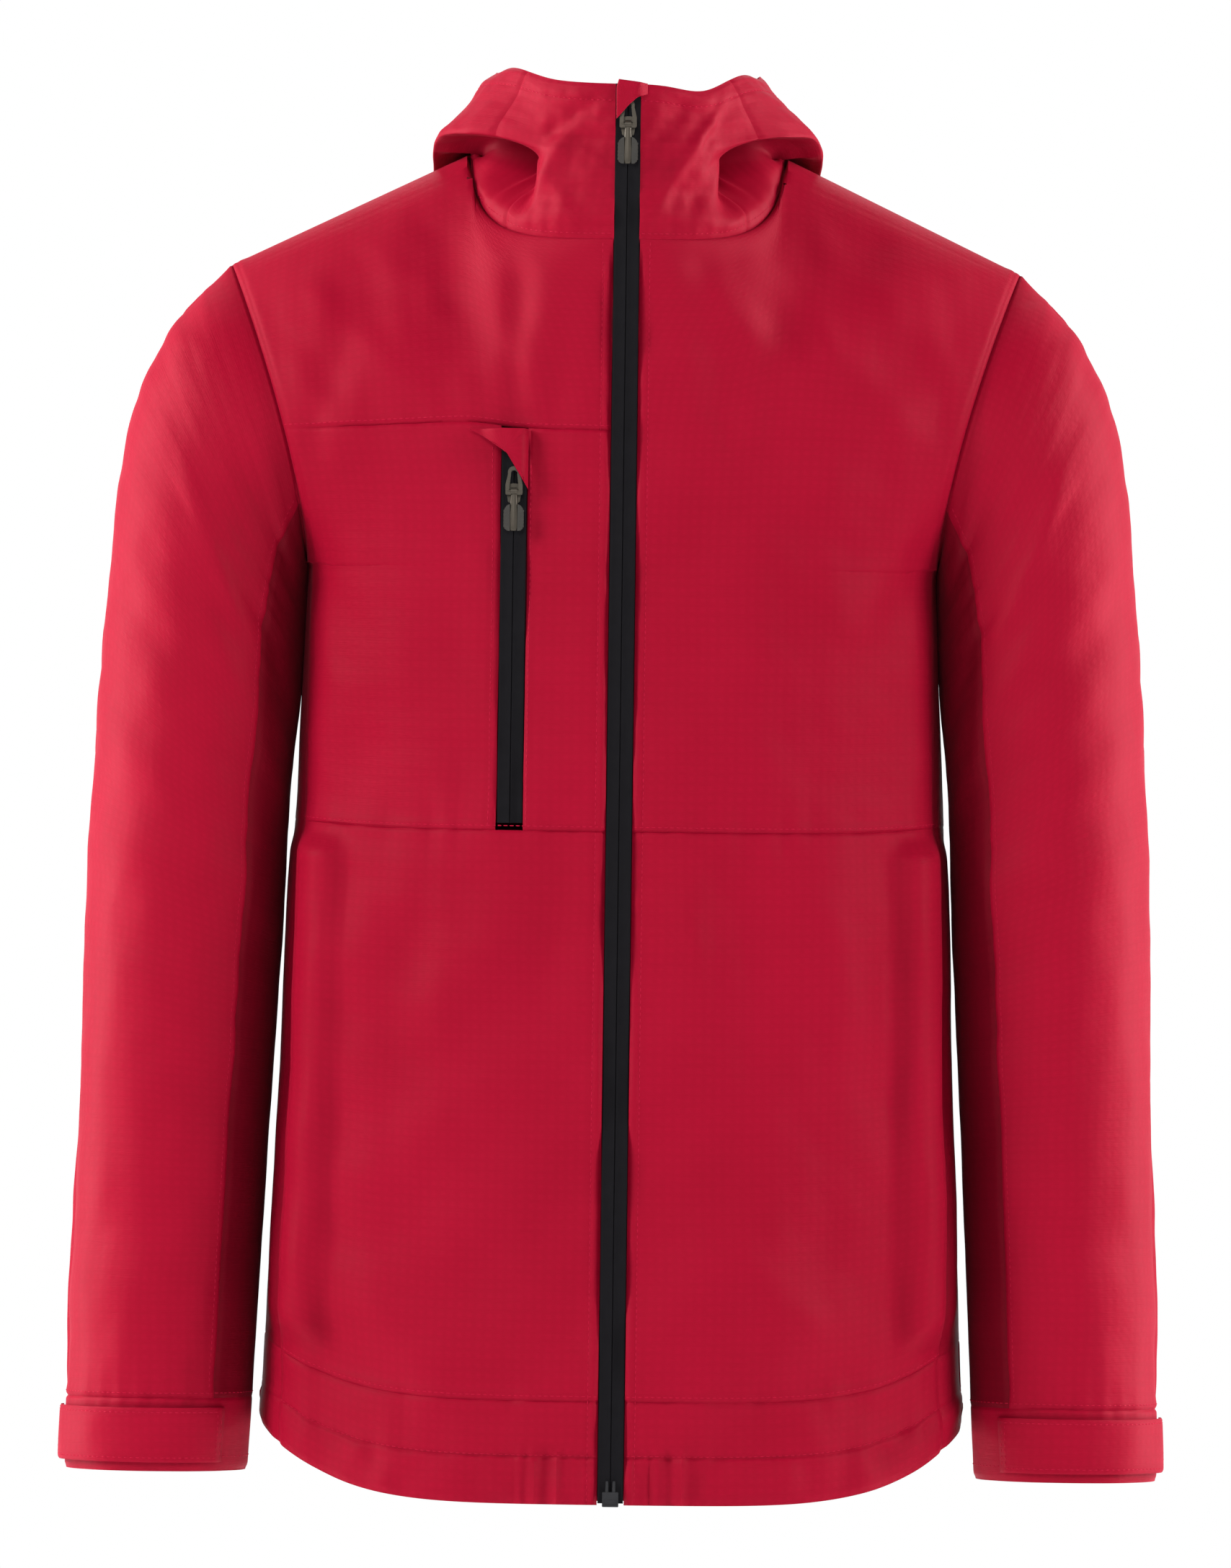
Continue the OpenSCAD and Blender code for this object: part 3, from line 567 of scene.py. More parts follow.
FRONT_FOLDS = [(-78, -46, -52, -120, 13, 2.6), (-40, -48, -48, -140, 12, 2.2),
               (-60, -60, -58, -150, 8, -1.4), (-20, -60, -26, -150, 9, 1),
               (-120, -70, -150, -150, 22, 1.6), (24, -46, 95, -112, 12, 2.4),
               (40, -44, 60, -150, 10, -1.6), (70, -50, 140, -120, 15, 1.6),
               (150, -80, 182, -150, 16, -1.8), (-158, -95, -178, -165, 12, -1.8),
               (-168, -180, -120, -250, 20, 1.6), (166, -175, 118, -260, 20, 1.8),
               (-140, -375, -158, -520, 20, 2.6), (-100, -372, -120, -470, 14, -1.8),
               (-60, -375, -75, -450, 13, 1.6), (-30, -380, -40, -470, 10, -1),
               (110, -372, 135, -500, 18, 2.2), (70, -374, 80, -480, 14, -1.6),
               (36, -374, 44, -450, 10, 1.3), (-165, -600, -95, -655, 22, 2.6),
               (-130, -560, -60, -620, 22, -1.8), (60, -590, 120, -650, 20, 2.4),
               (110, -560, 170, -620, 20, -1.8), (20, -500, 60, -640, 26, 1.6)]
BACK_FOLDS = [(-60, -70, -150, -170, 18, 2.6), (62, -70, 150, -175, 18, 2.6),
              (-20, -130, -120, -260, 24, -2.4), (20, -140, 118, -250, 24, -2.2),
              (-90, -300, 90, -330, 20, 2.4), (-110, -380, 60, -400, 22, -2.2),
              (-70, -450, 120, -470, 26, 2.2), (0, -520, -40, -660, 24, 2),
              (90, -520, 110, -650, 22, -1.8)]


# Each cross seam's place, the height and the reach of its gathers, and its lap
CROSS_SEAMS = [(W_CHANNEL, 0.75, 10, 0.25), (W_BAND, 0.5, 8, 0.45), (W_WAIST, 0.55, 13, 0.55)]


def body_height(x, w, z, side, back):
    """How far the cloth stands off the plain surface, for x measured to the wearer's left."""
    ax = np.abs(x)
    h = 2.3 * ripple(x, z, 11 if back else 5, 150) + 1.0 * ripple(x, z, 12 if back else 6, 62)
    h = h + 0.28 * ripple(x, z, 13 if back else 7, 26)
    h = h + 1.5 * folds(x, z, BACK_FOLDS if back else FRONT_FOLDS)
    for k, (w0, gather, reach, lap) in enumerate(CROSS_SEAMS):
        d = (w - w0) * BODY_LEN
        h = h + seam(d, lap=lap) + pucker(x, d, 30 + k, gather, reach)
    if back:
        h = h + seam((w - W_UNDERARM) * BODY_LEN)
    elif side == "right":
        d = (w - W_CHEST) * BODY_LEN
        h = h + seam(d) + pucker(x, d, 40, 0.35, 9)
    if not back:
        d = ax - ZIP_HALF
        h = h - 1.4 * hump(d, 1.3) + 0.3 * hump(d - 3, 2.2) - 0.32 * hump(d - TOPSTITCH, 0.8)
        h = h + pucker(z, d, 50, 0.45, 12, 22) * smooth(d / 3)
        h = h - 0.7 * hump((w - W_SHOULDER_SEAM) / 0.0010, 1.0) * smooth((ax - 70) / 20)
    edge = half_at(w)
    over = w > W_UNDERARM
    d = np.where(over, edge - ax, 99.0)
    h = h * (0.25 + 0.75 * smooth(d / 26))
    h = h * smooth((1 - w) * BODY_LEN / 15) * (0.15 + 0.85 * smooth((edge - ax) / 20))
    h = h - 0.6 * hump(d, 0.9) + 0.35 * hump(d - 5, 3) - 0.25 * hump(d - 3.6, 0.8)
    h = h - 1.0 * hump(w * BODY_LEN, 2.2) + 0.9 * hump(w * BODY_LEN - 12, 8)
    drawn = smooth(w * BODY_LEN / 6) * smooth((W_CHANNEL - w) * BODY_LEN / 5)
    h = h + 0.9 * drawn * ripple(x, w * 900, 60 + back, 24)
    return h


PINCHES = (-36.0, 32.0)  # where the hem's elastic is bar-tacked, each side of the zip


def pinch(x, w, px):
    """The bar-tacked gathers where the hem's elastic is held."""
    d = np.abs(x - px)
    within = smooth((W_CHANNEL + 0.012 - w) / 0.012)
    return within * (-2.6 * hump(d, 2.4) + 1.5 * hump(d - 6, 3.5) + 0.9 * np.cos(d * 0.9) * hump(d, 16))


FLAP_REACH, FLAP_LIFT, LIP_LIFT = 32.0, 24.0, 3.6
SQUARE = 9.0             # how much fuller the front's side edge hangs than the plain body


def pocket_part(w):
    """1 along a hand pocket's mouth, falling to 0 at the waist seam and at the hem band."""
    return smooth((W_WAIST - 0.002 - w) * BODY_LEN / 17) * smooth((w - W_BAND - 0.003) * BODY_LEN / 22)


FRONT_XS, X_MARKS = spread([ZIP_HALF, ZIP_HALF + TOPSTITCH, CHEST_ZIP_X - ZIP_HALF, CHEST_ZIP_X + ZIP_HALF],
                           [9, 20, 10], 0.6)
SIDE_COLS, LAST_COLS = 68, 10


def blurred(values, at, sigma):
    """Values given at rising positions, blurred over a distance."""
    even = np.linspace(at[0], at[-1], 700)
    step = even[1] - even[0]
    reach = np.arange(-int(3 * sigma / step), int(3 * sigma / step) + 1) * step
    kernel = np.exp(-0.5 * (reach / sigma) ** 2)
    flat = np.pad(np.interp(even, at, values), len(reach) // 2, mode="edge")
    return np.interp(at, even, np.convolve(flat, kernel / kernel.sum(), mode="valid"))


def ease(p, w):
    """Softens the surface under the arms and beside the neck, where two of its shapes meet."""
    p = p.copy()
    heights = WS * BODY_LEN
    near = hump((w - W_UNDERARM) * BODY_LEN, 34.0)
    for c in range(p.shape[1]):
        p[:, c, 1] = lerp(p[:, c, 1], blurred(p[:, c, 1], heights, 11.0), near[:, c])
    side = np.abs(p[..., 0])
    beside = smooth((side - 46) / 16) * smooth((116 - side) / 16)
    beside = beside * smooth((w - 0.80) / 0.05) * smooth((0.997 - w) / 0.03)
    for r in np.nonzero(WS > 0.80)[0]:
        for k in (1, 2):
            p[r, :, k] = lerp(p[r, :, k], blurred(p[r, :, k], p[r, :, 0], 9.0), beside[r])
    return p


def z_of(w):
    return HEM_Z + BODY_LEN * w


def front_grid(side):
    """Points and outward directions of one front half, from the zip to the side seam."""
    sign = -1 if side == "right" else 1
    rows = []
    u = np.arange(1, SIDE_COLS + 1) / SIDE_COLS
    u = u - 0.35 * np.sin(2 * np.pi * u) / (2 * np.pi)
    last = np.arange(1, LAST_COLS + 1) / LAST_COLS
    for w in WS:
        a, b = float(side_front(w)), float(half_at(w))
        middle = lerp(FRONT_XS[-1], a, np.sin(u * np.pi / 2))
        rows.append(np.concatenate([FRONT_XS, middle, lerp(a, b, last)]))
    x = np.array(rows)
    w = np.repeat(WS[:, None], x.shape[1], axis=1)
    p = ease(body_point(x, w, False), w)
    n = normals(p)
    n[:, -1] = n[:, -2]
    h = body_height(x * sign, w, p[..., 2], side, False)
    for px in PINCHES:
        h = h + pinch(x * sign, w, px)
    edge = side_front(w) - x
    h = h - np.where(w < W_UNDERARM, 1.3 * hump(edge, 1.6), 0)
    if side == "right":
        inside = smooth((W_CHEST - w) * BODY_LEN / 2) * smooth((w - W_WAIST) * BODY_LEN / 2)
        d = np.abs(x - CHEST_ZIP_X) - ZIP_HALF
        h = h - inside * (1.3 * hump(d, 1.3) + 0.3 * hump(d - 4.5, 0.9))
    beyond = np.clip(x - side_front(w), 0, 99)
    open_ = pocket_part(w)
    h = h + LIP_LIFT * open_ * hump(beyond - 4.0, 3.0) * (0.75 + 0.25 * ripple(z_of(w), 0 * w, 150, 140))
    over = (w > W_UNDERARM)[:, -LAST_COLS:]
    n[:, -LAST_COLS:][over] = n[:, -LAST_COLS - 1:-LAST_COLS].repeat(LAST_COLS, axis=1)[over]
    p = p + n * h[..., None]
    full = smooth((W_UNDERARM + 0.03 - w) * BODY_LEN / 60)
    fullness = SQUARE * hump(edge - 2.0, 17.0)
    p[..., 1] -= fullness * full * smooth((half_at(w) - x) / 3.0)
    n = np.where((full > 0.02)[..., None], normals(p), n)
    flap = open_ * smooth(1 - edge / FLAP_REACH) * (edge >= -1e-6)
    sway = 1 + 0.07 * ripple(z_of(w), 0 * w, 151, 110)
    p[..., 1] -= (FLAP_LIFT - fullness) * flap * sway
    p[..., 0] += 2.2 * flap
    n = np.where((flap > 0.02)[..., None], normals(p), n)
    if side == "right":
        p, n = mirrored(p), mirrored(n)
    return p, n


BACK_MID, BACK_SIDE = 120, 26


def back_grid():
    rows = []
    t = np.linspace(-90, 90, BACK_MID + 1)
    side = np.arange(1, BACK_SIDE + 1) / BACK_SIDE
    for w in WS:
        a, b = float(side_back(w)), float(half_at(w))
        reach = math.degrees(math.asin(min(1, a / b)))
        mid = b * np.sin(np.radians(t * reach / 90))
        out = b * np.sin(np.radians(lerp(reach, 90, side)))
        rows.append(np.concatenate([-out[::-1], mid, out]))
    x = np.array(rows)
    w = np.repeat(WS[:, None], x.shape[1], axis=1)
    p = ease(body_point(x, w, True), w)
    n = normals(p, flip=True)
    h = body_height(x, w, p[..., 2], "", True)
    edge = np.abs(np.abs(x) - side_back(w))
    h = h - np.where(w < W_UNDERARM, 1.1 * hump(edge, 1.4) + 0.25 * hump(edge - LAP, 0.7), 0)
    return p + n * h[..., None], n


def cut(grid, r0, r1, c0, c1):
    return tuple(g[r0:r1 + 1, c0:c1 + 1] for g in grid)


FRONT = {side: front_grid(side) for side in ("right", "left")}
BACK = back_grid()
C_STITCH, C_POCKET_IN, C_POCKET_OUT = X_MARKS[1], X_MARKS[2], X_MARKS[3]
C_SIDE = C_POCKET_OUT + SIDE_COLS
C_EDGE = C_SIDE + LAST_COLS


def front_panels():
    right, left = FRONT["right"], FRONT["left"]
    cloth("front_yoke_right_cloth", *cut(right, R_CHEST, R_TOP, 0, C_SIDE), ["front_yoke_right"], flip=True)
    cloth("chest_panel_outer_cloth", *cut(right, R_WAIST, R_CHEST, C_POCKET_OUT, C_SIDE),
          ["chest_panel_outer_right"], flip=True)
    cloth("chest_panel_inner_cloth", *cut(right, R_WAIST, R_CHEST, 0, C_POCKET_IN),
          ["chest_panel_inner_right"], flip=True)
    cloth("front_upper_left_cloth", *cut(left, R_WAIST, R_TOP, 0, C_SIDE), ["front_upper_left"])
    for side, grid in FRONT.items():
        flip = side == "right"
        cloth(f"front_lower_{side}_cloth", *cut(grid, R_BAND, R_WAIST, 0, C_SIDE), [f"front_lower_{side}"],
              flip=flip)
        cloth(f"hem_front_{side}_cloth", *cut(grid, 0, R_BAND, 0, C_EDGE), [f"hem_front_{side}"], flip=flip)


def pocket_facings():
    """The cloth behind each hand pocket's zip, from under the front panel's loose edge to the side panel."""
    ws = np.linspace(W_BAND + 0.004, W_WAIST - 0.002, 150)
    cols = np.linspace(-26, 1.5, 20)
    w = np.repeat(ws[:, None], len(cols), axis=1)
    p = body_point(side_front(w) + cols[None], w, False)
    n = normals(p)
    p = p - n * (2.6 - 0.5 * ripple(p[..., 2], cols[None] * 3, 152, 60))[..., None]
    # the facing takes the deepest red: painted shade in the pocket's mouth
    cloth("pocket_facing_left", p, n, outer=RED_PAINTED_DEEP_SHADE, slot="shell_deep")
    cloth("pocket_facing_right", mirrored(p), mirrored(n), outer=RED_PAINTED_DEEP_SHADE, slot="shell_deep", flip=True)


def side_panels():
    cols = BACK[0].shape[1]
    for side, grid in FRONT.items():
        front = cut(grid, R_BAND, R_UNDERARM, C_SIDE, C_EDGE)
        strip = slice(cols - 1 - BACK_SIDE, cols) if side == "left" else slice(0, BACK_SIDE + 1)
        back = tuple(g[R_BAND:R_UNDERARM + 1, strip] for g in BACK)
        if side == "left":
            back = tuple(g[:, ::-1] for g in back)
        p, n = (np.concatenate([f, b[:, 1:]], axis=1) for f, b in zip(front, back))
        p[:, front[0].shape[1] - 1] = (front[0][:, -1] + back[0][:, 0]) / 2
        w = WS[R_BAND:R_UNDERARM + 1, None]
        plain = body_point(side_front(w), w, False)
        sign = np.array([-1.0 if side == "right" else 1.0, 1.0, 1.0])
        start = plain[:, 0] * sign - n[:, 0] * 0.9
        p[:, 0] = lerp(p[:, 0], start, pocket_part(w))
        # the side panels take the darker red: painted shade where they turn away beside the sleeves
        cloth(f"side_panel_{side}_cloth", p, unit(n), [f"side_panel_{side}"], slot="shell_deep",
              outer=RED_PAINTED_SHADE, flip=side == "right")


def back_panels():
    last = BACK[0].shape[1] - 1
    lo, hi = BACK_SIDE, last - BACK_SIDE
    cloth("back_yoke_cloth", *cut(BACK, R_UNDERARM, R_TOP, 0, last), ["back_yoke"], flip=True)
    cloth("back_upper_cloth", *cut(BACK, R_WAIST, R_UNDERARM, lo, hi), ["back_upper"], flip=True)
    cloth("back_lower_cloth", *cut(BACK, R_BAND, R_WAIST, lo, hi), ["back_lower"], flip=True)
    cloth("hem_back_cloth", *cut(BACK, 0, R_BAND, 0, last), ["hem_back"], flip=True)


def row_line(grid, w0, c0, c1, step=0.5):
    """Points along a row at height w0, between two columns."""
    cols = np.arange(c0, c1, step)
    rows = np.full(len(cols), np.interp(w0, WS, np.arange(len(WS))))
    return sample(grid[0], rows, cols), sample(grid[1], rows, cols)


def column_line(grid, c, r0, r1, step=0.5):
    rows = np.arange(r0, r1, step)
    cols = np.full(len(rows), float(c))
    return sample(grid[0], rows, cols), sample(grid[1], rows, cols)


def body_stitching():
    lap = LAP / BODY_LEN
    for side, grid in FRONT.items():
        thread = Stitching()
        thread.add(*column_line(grid, C_STITCH, 2, R_TOP - 4))
        for w0 in (W_BAND + lap, W_WAIST + lap, W_CHANNEL + 0.0015):
            thread.add(*row_line(grid, w0, 1, C_SIDE - 1))
        if side == "right":
            thread.add(*row_line(grid, W_CHEST + lap, 1, C_SIDE - 1))
            thread.add(*column_line(grid, C_POCKET_OUT + 2.5, R_WAIST + 2, R_CHEST - 2))
            thread.add(*column_line(grid, C_POCKET_IN - 2.0, R_WAIST + 2, R_CHEST - 12))
        thread.finish(f"front_topstitching_{side}", "jacket")
    thread = Stitching()
    last = BACK[0].shape[1] - 1
    for w0 in (W_BAND + lap, W_CHANNEL + 0.0015, W_UNDERARM + lap):
        thread.add(*row_line(BACK, w0, 2, last - 2))
    thread.add(*row_line(BACK, W_WAIST + lap, BACK_SIDE + 1, last - BACK_SIDE - 1))
    for c in (BACK_SIDE + 2.5, last - BACK_SIDE - 2.5):
        thread.add(*column_line(BACK, c, R_BAND + 2, R_UNDERARM - 2))
    thread.finish("back_topstitching", "jacket")


front_panels()
pocket_facings()
side_panels()
back_panels()
body_stitching()


# ---- The sleeves ----
OUTER_LINE = [[0, 0], [36, -42], [57, -100], [66, -190], [72, -300], [76, -420], [80, -545], [83, -667]]
INNER_LINE = [[0, 0], [1.5, -35], [4, -75], [6.5, -125], [9.5, -185], [14, -270], [19.5, -380], [26, -502]]
OUTER_RISE = SLEEVE_LEN / 667
OUTER_SPREAD = (HEM_HALF + SLEEVE_GAP + CUFF_W - SHOULDER_HALF) / 83
INNER_RISE = (SLEEVE_LEN - ARMHOLE_H) / 502
INNER_SPREAD = (HEM_HALF + SLEEVE_GAP - CHEST_HALF) / 26
OUTER_PATH = [[SHOULDER_HALF + x * OUTER_SPREAD, SHOULDER_Z + z * OUTER_RISE] for x, z in OUTER_LINE]
INNER_PATH = [[CHEST_HALF + x * INNER_SPREAD, SHOULDER_Z - ARMHOLE_H + z * INNER_RISE] for x, z in INNER_LINE]
FOREARM_LEAD, UNDER_SEAM, SEAT_T = 22.0, 128.0, 0.15
T_CUFF = 1 - CUFF_H / (7 * 122 * OUTER_RISE)


def sleeve_depth(t):
    return lerp(ARMHOLE_HALF, CUFF_HALF, t) + 5 * np.sin(np.pi * t)


def armhole_ring(a):
    w = lerp(W_UNDERARM, 1, (1 + np.cos(np.radians(a))) / 2)
    return np.stack([half_at(w), -ARMHOLE_HALF * np.sin(np.radians(a)) * rounding(w), z_of(w)], axis=-1)


def sleeve_ring(a, t, off=0.0):
    a, t = np.broadcast_arrays(np.asarray(a, float), np.asarray(t, float))
    o, i = curve(OUTER_PATH, t), curve(INNER_PATH, t)
    c, h = (o + i) / 2, (o - i) / 2
    h = h * (1 + off / np.linalg.norm(h, axis=-1))[..., None]
    cos, sin = np.cos(np.radians(a)), np.sin(np.radians(a))
    y = -FOREARM_LEAD * t ** 1.3 - (sleeve_depth(t) + off) * sin
    return np.stack([c[..., 0] + h[..., 0] * cos, y, c[..., 1] + h[..., 1] * cos], axis=-1)


def sleeve_point(a, t, off=0.0):
    """A point of the left sleeve: a turns from the outside (0) to the front (90) and the inside (180)."""
    a, t = np.broadcast_arrays(np.asarray(a, float), np.asarray(t, float))
    seat = np.clip(1 - t / SEAT_T, 0, 1)[..., None] ** 2
    return sleeve_ring(a, t, off) + [SEAM_GAP, 0, 0] + (armhole_ring(a) - sleeve_ring(a, 0 * t)) * seat


# ---- The collar and hood, as in the CAD ----
RIM_BACK, RIM_PEAK, RIM_BACK_Z = 96.0, 6.0, RIM_Z - 30
FOLD_FRONT_Z, FOLD_BACK_Z, FOLD_BACK, FOLD_FRONT = NECK_SIDE_Z + 10, NECK_BACK_Z - HOOD_HANG, 136.0, 88.0


def blend_points(points, t):
    """The smooth curve through points that are grids themselves, at a grid of t."""
    p = np.stack([2 * points[0] - points[1]] + list(points) + [2 * points[-1] - points[-2]])
    n = len(points) - 1
    k = np.minimum((t * n).astype(int), n - 1)
    f = (t * n - k)[..., None]
    return through(*(np.take_along_axis(p, (k + j)[None, ..., None], axis=0)[0] for j in range(4)), f)


def hood_point(f, t):
    """A point of the hood: f turns from the front (0) past the left side (90) to the back (180)."""
    f, t = np.broadcast_arrays(np.asarray(f, float), np.asarray(t, float))
    sign = np.where(f > 180, -1.0, 1.0)
    f = np.where(f > 180, 360 - f, f)
    s, c = np.sin(np.radians(f)), np.cos(np.radians(f))
    back = f > 90
    x = NECK_HALF * s
    neck = np.stack([x, -np.where(back, NECK_BACK, NECK_FRONT) * c,
                     np.where(back, neck_z(x, True), neck_z(x, False)) + SEAM_GAP], axis=-1)
    rim_z = lerp(np.where(back, RIM_BACK_Z, RIM_Z), RIM_Z + RIM_PEAK, s ** 2)
    rim = np.stack([RIM_HALF * s, -np.where(back, RIM_BACK, front_line(RIM_Z)) * c, rim_z], axis=-1)
    fold = np.stack([HOOD_HALF * np.clip(s, 0, 1) ** np.where(back, 0.8, 1.2),
                     -np.where(back, FOLD_BACK, FOLD_FRONT) * c,
                     lerp(FOLD_FRONT_Z, FOLD_BACK_Z, smooth((f - 70) / 110))], axis=-1)
    k = lerp(0.93, 1.2, smooth((f - 80) / 60))
    valley_z = np.maximum(neck[..., 2] + 4, fold[..., 2] - 4)
    valley = np.stack([neck[..., 0] * k, neck[..., 1] * k, valley_z], axis=-1)
    swell = 12 * smooth((f - 90) / 60)[..., None] * np.stack([s, -c, 0 * s], axis=-1)
    m = (fold + rim) / 2 + swell
    side = smooth((f - 38) / 20)[..., None]
    p = blend_points([neck, lerp(lerp(neck, rim, 0.3), valley, side), lerp(lerp(neck, rim, 0.55), fold, side),
                      lerp(lerp(neck, rim, 0.78), m, side), rim], t)
    return p * np.stack([sign, np.ones_like(sign), np.ones_like(sign)], axis=-1)


# ---- The sleeves' cloth ----
# Each crease: its ends as degrees round the sleeve and part of its length, its width and its height
SLEEVE_FOLDS = [(0, 0.6, 160, 0.56, 0.02, 1.6), (20, 0.66, 150, 0.63, 0.016, -1.4),
                (-10, 0.5, 120, 0.545, 0.018, 1.3), (60, 0.75, 178, 0.7, 0.018, 1.3),
                (10, 0.42, 110, 0.4, 0.022, -1.1), (100, 0.34, 170, 0.47, 0.022, 1.6),
                (60, 0.2, 128, 0.33, 0.022, 1.8), (118, 0.22, 168, 0.36, 0.02, -1.6),
                (20, 0.86, 140, 0.82, 0.018, -1.2), (190, 0.62, 330, 0.6, 0.02, 1.6),
                (200, 0.52, 340, 0.55, 0.02, -1.4), (210, 0.4, 330, 0.36, 0.022, 1.4)]
SLEEVE_TS, T_MARKS = spread([0, T_CUFF, 1], [210, 34], 0.55)
UNDER_COLS, UPPER_COLS, TUCK_ROWS = 44, 150, 2


CREASE_SPAN = 720.0      # millimetres that the whole of t stands for in the noise and the creases
SEAM_SPAN = 850.0        # and the same beside the cuff's seam and at the two ends
FOLD_ARC = 1.224         # millimetres for a degree round the sleeve, in the creases


def sleeve_height(a, t):
    """How far a sleeve's cloth stands off its plain surface; a from 0 to 360, t along the sleeve."""
    x, z = a * 1.25, t * CREASE_SPAN
    h = 1.0 * ripple(x, z, 70, 190) + 0.55 * ripple(x, z, 71, 70) + 0.2 * ripple(x, z, 72, 28)
    to_mm = np.array([FOLD_ARC, CREASE_SPAN, FOLD_ARC, CREASE_SPAN, CREASE_SPAN, 1])
    h = h + folds(a * FOLD_ARC, z, np.array(SLEEVE_FOLDS) * to_mm)
    for k, edge in enumerate((UNDER_SEAM, 360 - UNDER_SEAM)):
        d = (a - edge) * 1.05 * (1 if k else -1)
        body_part = smooth((T_CUFF - t) * 400)
        h = h + (seam(d, lap=0.5) + pucker(z, d, 80 + k, 0.35, 9, 24)) * body_part
    d = (T_CUFF - t) * SEAM_SPAN
    h = h + seam(d, lap=0.3) + pucker(x, d, 90, 0.55, 14, 22)
    inside = hump(a - 180, 34)
    h = h * smooth(t * SEAM_SPAN / 60) * (1 - 0.7 * inside)
    h = h + 2.3 * inside * smooth(t / 0.02) * smooth((0.42 - t) / 0.16)
    return h - 0.5 * hump(t * SEAM_SPAN, 1.0) - 1.1 * hump((1 - t) * SEAM_SPAN, 2.2)


def sleeve_grid():
    """The left sleeve's outside, from the under seam round the outside to the other under seam and on."""
    upper = np.linspace(-UNDER_SEAM, UNDER_SEAM, UPPER_COLS + 1)
    under = np.linspace(UNDER_SEAM, 360 - UNDER_SEAM, UNDER_COLS + 1)
    a = np.concatenate([upper, under[1:]])
    rows, cols = np.meshgrid(SLEEVE_TS, a, indexing="ij")
    p = sleeve_point(cols, rows)
    n = normals(p)
    n[:, 0] = n[:, -1] = unit(n[:, 1] + n[:, -2])
    n[0] = n[2]
    h = sleeve_height(np.mod(cols, 360), rows)
    h[:, 0] = h[:, -1]
    p = p + n * h[..., None]
    centre = p[0].mean(axis=0)
    tucks = []
    for inward, shrink in ((6.0, 0.972), (2.5, 0.985)):
        ring = centre + (p[0] - centre) * shrink
        tucks.append(ring - [inward, 0, 0])
    return np.concatenate([np.stack(tucks), p]), np.concatenate([n[:1], n[:1], n])


SLEEVE = sleeve_grid()
BEND_REACH = 75.0        # how far out from the armhole's plane the bend's span reaches


def bend_to(side):
    """The jacket's and the sleeve's names and a span out from the armhole, in the frame's metres; the cloth
    that is given it is not bent by it, only left unparented.
    """
    sign = -1 if side == "right" else 1
    out = unit(np.array([ARMHOLE_H, 0.0, CHEST_HALF - SHOULDER_HALF]))
    start = np.array([SHOULDER_HALF + 1.0, 0.0, SHOULDER_Z])
    end = start + out * BEND_REACH
    flip = np.array([sign, 1.0, 1.0])
    return ("jacket", f"sleeve_{side}", tuple(to_frame(start * flip)), tuple(to_frame(end * flip)))


def tab_grid():
    """The left cuff tab: sewn at the front, its far end cut slanting with rounded corners."""
    rows, cols = 26, 90
    u = np.linspace(0, 1, cols + 1)
    v = np.linspace(-1, 1, rows + 1)
    uu, vv = np.meshgrid(u, v)
    end = -8.0 + 5.0 * (vv + 1) / 2
    corner = 1 - np.sqrt(np.clip(1 - np.clip((np.abs(vv) - 0.55) / 0.45, 0, 1) ** 2, 0, 1))
    end = end + 7.0 * corner
    a = lerp(136.0, end, uu)
    t = T_CUFF + (1 - T_CUFF) * (0.5 + vv * TAB_H / 2 / CUFF_H)
    lift = 4.0 - 2.2 * (1 - smooth(uu / 0.05))
    edge = np.minimum(1 - np.abs(vv), np.minimum(uu, 1 - uu) * 4.5)
    lift = lift - 0.7 * (1 - smooth(edge / 0.10)) + 0.35 * ripple(a * 1.2, t * 700, 95, 34)
    lift = lift - 0.35 * hump(edge - 0.17, 0.035)
    return sleeve_point(a, t, lift)


